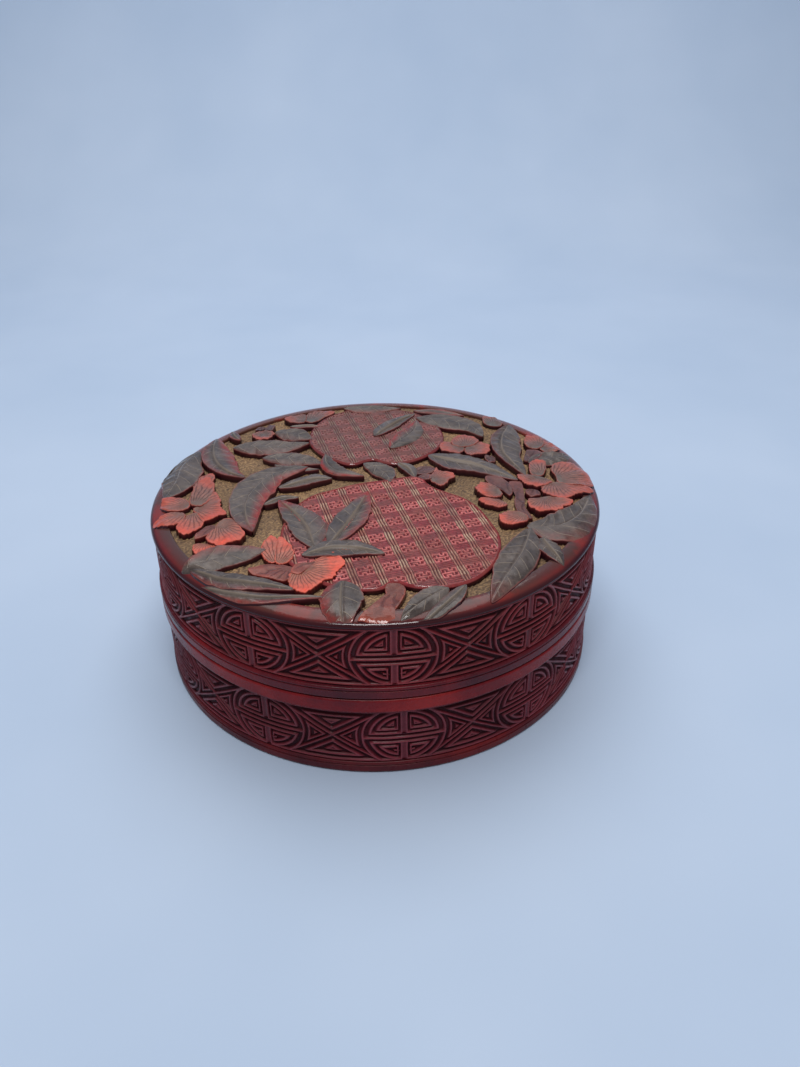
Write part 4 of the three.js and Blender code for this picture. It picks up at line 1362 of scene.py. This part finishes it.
def diaper_samples(low, high, offset, band):
    """Places along one direction, each with its part of the pattern and its state there."""
    samples = []
    lines = round(band / LINE_PITCH)
    pitch = band / lines
    cell_width = (DIAPER_PERIOD - band) / FRET_SIZE
    quarter = pitch / 4
    step = quarter * WALL_SHARE
    wall = cell_width * WALL_SHARE / 2
    tuck = cell_width * RIDGE_TUCK_SHARE
    first = math.floor((low - offset) / DIAPER_PERIOD)
    last = math.ceil((high - offset) / DIAPER_PERIOD)
    for period in range(first, last + 1):
        start = offset + period * DIAPER_PERIOD
        for index in range(lines):
            base = start + index * pitch
            samples += [(base + quarter - step, "band", 0), (base + quarter + step, "band", 1),
                        (base + 3 * quarter - step, "band", 1),
                        (base + 3 * quarter + step, "band", 0)]
        for cell in range(FRET_SIZE):
            base = start + band + cell * cell_width
            inset = wall + tuck * (-1) ** cell
            samples += [(base + inset, "fret", cell), (base + cell_width - inset, "fret", cell)]
    return [sample for sample in samples if low <= sample[0] <= high]


def diaper_state(across, along):
    """Whether two samples cross on a ridge, and in which zone of the pattern they lie."""
    if across[1] == "band":
        return across[2], CROSSING_ZONE if along[1] == "band" else UPRIGHT_ZONE
    if along[1] == "band":
        return along[2], CROSS_BAND_ZONE
    return int(KEY_FRET[along[2]][across[2]]), FRET_ZONE


def fruit_patch(outline, seed, origin):
    """A fruit with a smooth rim and a diaper between, cut to its outline."""
    edge = spline(place(outline), FRUIT_POINTS, True)
    ca, sa = math.cos(DIAPER_TILT), math.sin(DIAPER_TILT)
    turn_in = np.array([[ca, sa], [-sa, ca]])
    local = edge @ turn_in.T
    low, high = local.min(axis=0), local.max(axis=0)
    across = diaper_samples(low[0], high[0], origin[0], UPRIGHT_WIDTH)
    along = diaper_samples(low[1], high[1], origin[1], CROSS_WIDTH)
    states = np.array([[diaper_state(a, b) for a in across] for b in along], dtype=float)
    raised, zone = states[..., 0], states[..., 1]
    a, b = np.meshgrid([sample[0] for sample in across], [sample[0] for sample in along])
    xy = np.stack([a + ripples(a, b, seed, DIAPER_SHAKE),
                   b + ripples(a, b, seed + SHAKE_APART, DIAPER_SHAKE)], axis=-1) @ turn_in
    x, y = xy[..., 0], xy[..., 1]
    inside, distance = outline_distance(xy.reshape(-1, 2), edge)
    distance = np.where(inside, distance, -distance).reshape(a.shape)
    field = smoothstep(FRUIT_RIM, FIELD_START, distance)
    banded = zone == CROSS_BAND_ZONE
    soft = np.where(banded, CROSS_BAND_DEPTH_SHARE, 1.0)
    worn = 1 - WORN_SHARE * smoothstep(0.1, 0.5, waves(x, y, WORN_SIZE, seed + WORN_SHIFT))
    height = fruit_height(np.hypot(x, y)) + DIAPER_DEPTH * (raised - 1) * field * soft * worn
    faces = grid_faces(*a.shape)
    faces = faces[(distance > FIELD_CUT).ravel()[faces].all(axis=1)]
    points = np.dstack([xy, height]).reshape(-1, 3)
    lifted = CROSS_BAND_LEAST_SHARE + (1 - CROSS_BAND_LEAST_SHARE) * raised
    marks = {
        "depth": np.zeros(len(points)),
        "raised": (np.where(banded, lifted, raised) * worn).ravel(),
        "zone": (CROSS_BAND_ZONE + (zone - CROSS_BAND_ZONE) * field).ravel(),
        "edge": (0.5 * (1 - field)).ravel(),
    }
    rim, rim_faces, rim_marks = fruit_rim(edge)
    faces = np.vstack([faces, rim_faces + len(points)])
    marks = {key: np.concatenate([marks[key], rim_marks[key]]) for key in marks}
    return np.vstack([points, rim]), faces, marks


def fruit_height(radius):
    """Height of a fruit's face."""
    return crown_height(radius) + LEAF_LIFT - FRUIT_DROP


def fruit_rim(edge):
    """The smooth raised rim round a fruit, and its outer wall."""
    inward = left_of(unit(np.roll(edge, -1, axis=0) - np.roll(edge, 1, axis=0)))
    turned_left = signed_area(edge) > 0
    inward = inward if turned_left else -inward
    body = fruit_height(np.hypot(edge[:, 0], edge[:, 1]))
    rings = [np.column_stack([edge + inward * inset * FRUIT_RIM, body + rise * MM])
             for inset, rise, _ in FRUIT_RIM_SHARES]
    rings += wall_columns(np.column_stack([edge, body - RIM_WALL_TOP]), -inward)
    points = np.concatenate(rings)
    faces = grid_faces(len(rings), len(edge), closed_columns=True)
    depths = [0] * len(FRUIT_RIM_SHARES) + WALL_DEPTHS
    edges = [mark for _, _, mark in FRUIT_RIM_SHARES] + [1] * len(WALL_DEPTHS)
    return points, faces[:, ::-1] if turned_left else faces, {
        "depth": np.repeat(depths, len(edge)).astype(float),
        "raised": np.ones(len(points)),
        "zone": np.full(len(points), CROSS_BAND_ZONE),
        "edge": np.repeat(edges, len(edge)).astype(float),
    }


def outline_distance(points, edge):
    """Whether each point is inside an outline, and its distance from it."""
    inside = np.zeros(len(points), dtype=bool)
    nearest = np.full(len(points), np.inf)
    for start, end in zip(edge, np.roll(edge, -1, axis=0)):
        crosses = (start[1] > points[:, 1]) != (end[1] > points[:, 1])
        with np.errstate(divide="ignore", invalid="ignore"):
            at = start[0] + (points[:, 1] - start[1]) * (end[0] - start[0]) / (end[1] - start[1])
        inside ^= crosses & (points[:, 0] < at)
        step = end - start
        share = np.clip(((points - start) @ step) / (step @ step), 0, 1)
        gap = np.linalg.norm(points - start - share[:, None] * step, axis=1)
        nearest = np.minimum(nearest, gap)
    return inside, nearest


def build_ground():
    """The ochre ground between the motifs, cut in fine crossing waves."""
    limit = EDGE_RING_RADIUS + GROUND_OVERLAP
    count = int(2 * limit / GROUND_STEP)
    ticks = (np.arange(count + 1) / count * 2 - 1) * limit
    x, y = np.meshgrid(ticks, ticks)
    radius = np.hypot(x, y)
    first, second = (np.sin(2 * math.pi * (axis + ripples(x, y, seed, GROUND_BEND)) / GROUND_WAVE)
                     for axis, seed in zip((x, y), GROUND_SEEDS))
    crest = (first * second + 1) / 2
    height = ground_height(radius) + GROUND_CUT * (crest - GROUND_LEVEL_SHARE)
    faces = grid_faces(*x.shape)
    faces = faces[(radius < limit).ravel()[faces].all(axis=1)]
    points = np.dstack([x, y, height]).reshape(-1, 3)
    return gather("top_ground", [(points, faces, {"crest": crest.ravel()})], GROUND)


def compacted(points, faces, marks):
    """Drop points that no face uses."""
    used, compact = np.unique(faces, return_inverse=True)
    kept = {key: values[used] for key, values in marks.items()}
    return points[used], compact.reshape(faces.shape), kept


def gather(name, patches, material):
    """Join patches into one piece of the lid's carving."""
    surface = Surface(*patches[0][2])
    for patch in patches:
        points, faces, marks = compacted(*patch)
        surface.add(points, faces, **marks)
    return surface.finish(name, material, "lid")


def gather_halves(name, patches, material):
    """Join patches into two pieces, so that neither holds too many faces."""
    half = len(patches) // 2
    return [gather(f"{name}_1", patches[:half], material),
            gather(f"{name}_2", patches[half:], material)]


def seeded(shapes, seeds):
    """Each shape's values with a seed of its own after them."""
    first, step = seeds
    return [(*shape, first + index * step) for index, shape in enumerate(shapes)]


def build_top():
    """Everything that stands on the ground of the lid."""
    leaves = [leaf_patch(*leaf) for leaf in seeded(LEAF_SHARES, LEAF_SEEDS)]
    petals = [petal_patch(*petal, PETAL_CUP, PETAL_SCALLOP_SHARE)
              for petal in seeded(PETAL_SHARES, PETAL_SEEDS)]
    stalks = [petal_patch(*stalk, STALK_CUP, STALK_SCALLOP_SHARE)
              for stalk in seeded(STALK_SHARES, STALK_SEEDS)]
    near = fruit_patch(NEAR_FRUIT_SHARES, NEAR_FRUIT_SEED, NEAR_FRUIT_ORIGIN)
    far = fruit_patch(FAR_FRUIT_SHARES, FAR_FRUIT_SEED, FAR_FRUIT_ORIGIN)
    pieces = [
        build_ground(),
        gather("near_fruit", [near], NEAR_FRUIT),
        gather("far_fruit", [far], FAR_FRUIT),
        *gather_halves("leaves", leaves, LEAF),
        *gather_halves("blossoms", petals, PETAL),
        gather("stalks", stalks, STALK),
    ]
    for piece in pieces:
        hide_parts("lid_carved_top")


# Floor, light and camera, in metres and watts

FLOOR_HALF = 3
SWEEP_START = 0.42
SWEEP_RADIUS = 0.3
SWEEP_FIRST_SHARE = 0.08
SWEEP_STEPS = 14
BACKDROP_TOP = 1.4
WORLD_STRENGTH = 0.36
WORLD_LIGHT = rgb(226, 232, 242)
WORLD_SEEN = rgb(150, 166, 190)

# Each lamp's name, place, width, depth and power
LAMPS = (
    ("overhead", (-0.03, 0.28, 0.92), 0.8, 0.8, 5.5),
    ("front", (0.0, -0.42, 0.98), 0.5, 0.11, 3.9),
)


def build_stage():
    """A plain pale floor that sweeps up into a backdrop."""
    nodes = Nodes("pale_floor")
    nodes.shade("Base Color",
                nodes.mottle(6, 3, [(0.3, rgb(176, 193, 215)), (0.7, rgb(186, 201, 221))]))
    nodes.shade("Roughness", 0.9)
    profile = [(-FLOOR_HALF, 0.0), (SWEEP_START, 0.0)]
    for share in np.linspace(SWEEP_FIRST_SHARE, 1, SWEEP_STEPS):
        angle = share * math.pi / 2
        profile.append((SWEEP_START + SWEEP_RADIUS * math.sin(angle),
                        SWEEP_RADIUS * (1 - math.cos(angle))))
    profile.append((SWEEP_START + SWEEP_RADIUS, BACKDROP_TOP))
    points = [(x, y, z) for y, z in profile for x in (-FLOOR_HALF, FLOOR_HALF)]
    faces = [(2 * k, 2 * k + 1, 2 * k + 3, 2 * k + 2) for k in range(len(profile) - 1)]
    make_object("floor", points, faces, nodes.material)


def add_lamp(name, where, width, depth, power):
    """A soft rectangular lamp looking at the foot of the box."""
    light = bpy.data.lights.new(name, "AREA")
    light.shape = "RECTANGLE"
    light.size = width
    light.size_y = depth
    light.energy = power
    lamp = bpy.data.objects.new(name, light)
    lamp.location = where
    lamp.rotation_euler = (Vector() - Vector(where)).to_track_quat("-Z", "Y").to_euler()
    bpy.context.scene.collection.objects.link(lamp)


def build_light():
    """A large soft lamp overhead, a small one in front of it, and an even pale world."""
    world = bpy.data.worlds.new("world")
    world.use_nodes = True
    tree = world.node_tree
    light = tree.nodes["Background"]
    light.inputs["Color"].default_value = WORLD_LIGHT
    light.inputs["Strength"].default_value = WORLD_STRENGTH
    seen = tree.nodes.new("ShaderNodeBackground")
    seen.inputs["Color"].default_value = WORLD_SEEN
    path = tree.nodes.new("ShaderNodeLightPath")
    either = tree.nodes.new("ShaderNodeMixShader")
    sources = (path.outputs["Is Camera Ray"], light.outputs[0], seen.outputs[0])
    for source, socket in zip(sources, either.inputs):
        tree.links.new(source, socket)
    tree.links.new(either.outputs[0], tree.nodes["World Output"].inputs["Surface"])
    bpy.context.scene.world = world
    for lamp in LAMPS:
        add_lamp(*lamp)


def build_camera():
    """The camera at the photographed viewpoint."""
    data = bpy.data.cameras.new("camera")
    data.sensor_width = SENSOR
    data.sensor_fit = "AUTO"
    data.lens = FOCAL_PX / VIEW_HEIGHT_PX * SENSOR
    data.clip_start = CLIP_START
    camera = bpy.data.objects.new("camera", data)
    forward = Vector((0, math.cos(CAMERA_PITCH), -math.sin(CAMERA_PITCH)))
    right = Vector((1, 0, 0))
    up = right.cross(forward)
    turned_right = right * math.cos(CAMERA_ROLL) + up * math.sin(CAMERA_ROLL)
    turned_up = -right * math.sin(CAMERA_ROLL) + up * math.cos(CAMERA_ROLL)
    axes = Matrix((turned_right, turned_up, -forward)).transposed().to_4x4()
    camera.matrix_world = Matrix.Translation(CAMERA_PLACE) @ axes
    bpy.context.scene.collection.objects.link(camera)
    bpy.context.scene.camera = camera


build_mouldings()
build_linings()
dress_core()
build_band("lid_carving", "lid_carved_band", "lid", CARVED_RED, LID_PHASE, 1.5)
build_band("base_carving", "base_carved_band", "base", BASE_RED, BASE_PHASE, 7.5)
build_top()
build_stage()
build_light()
build_camera()
bpy.context.scene.view_settings.view_transform = "Standard"
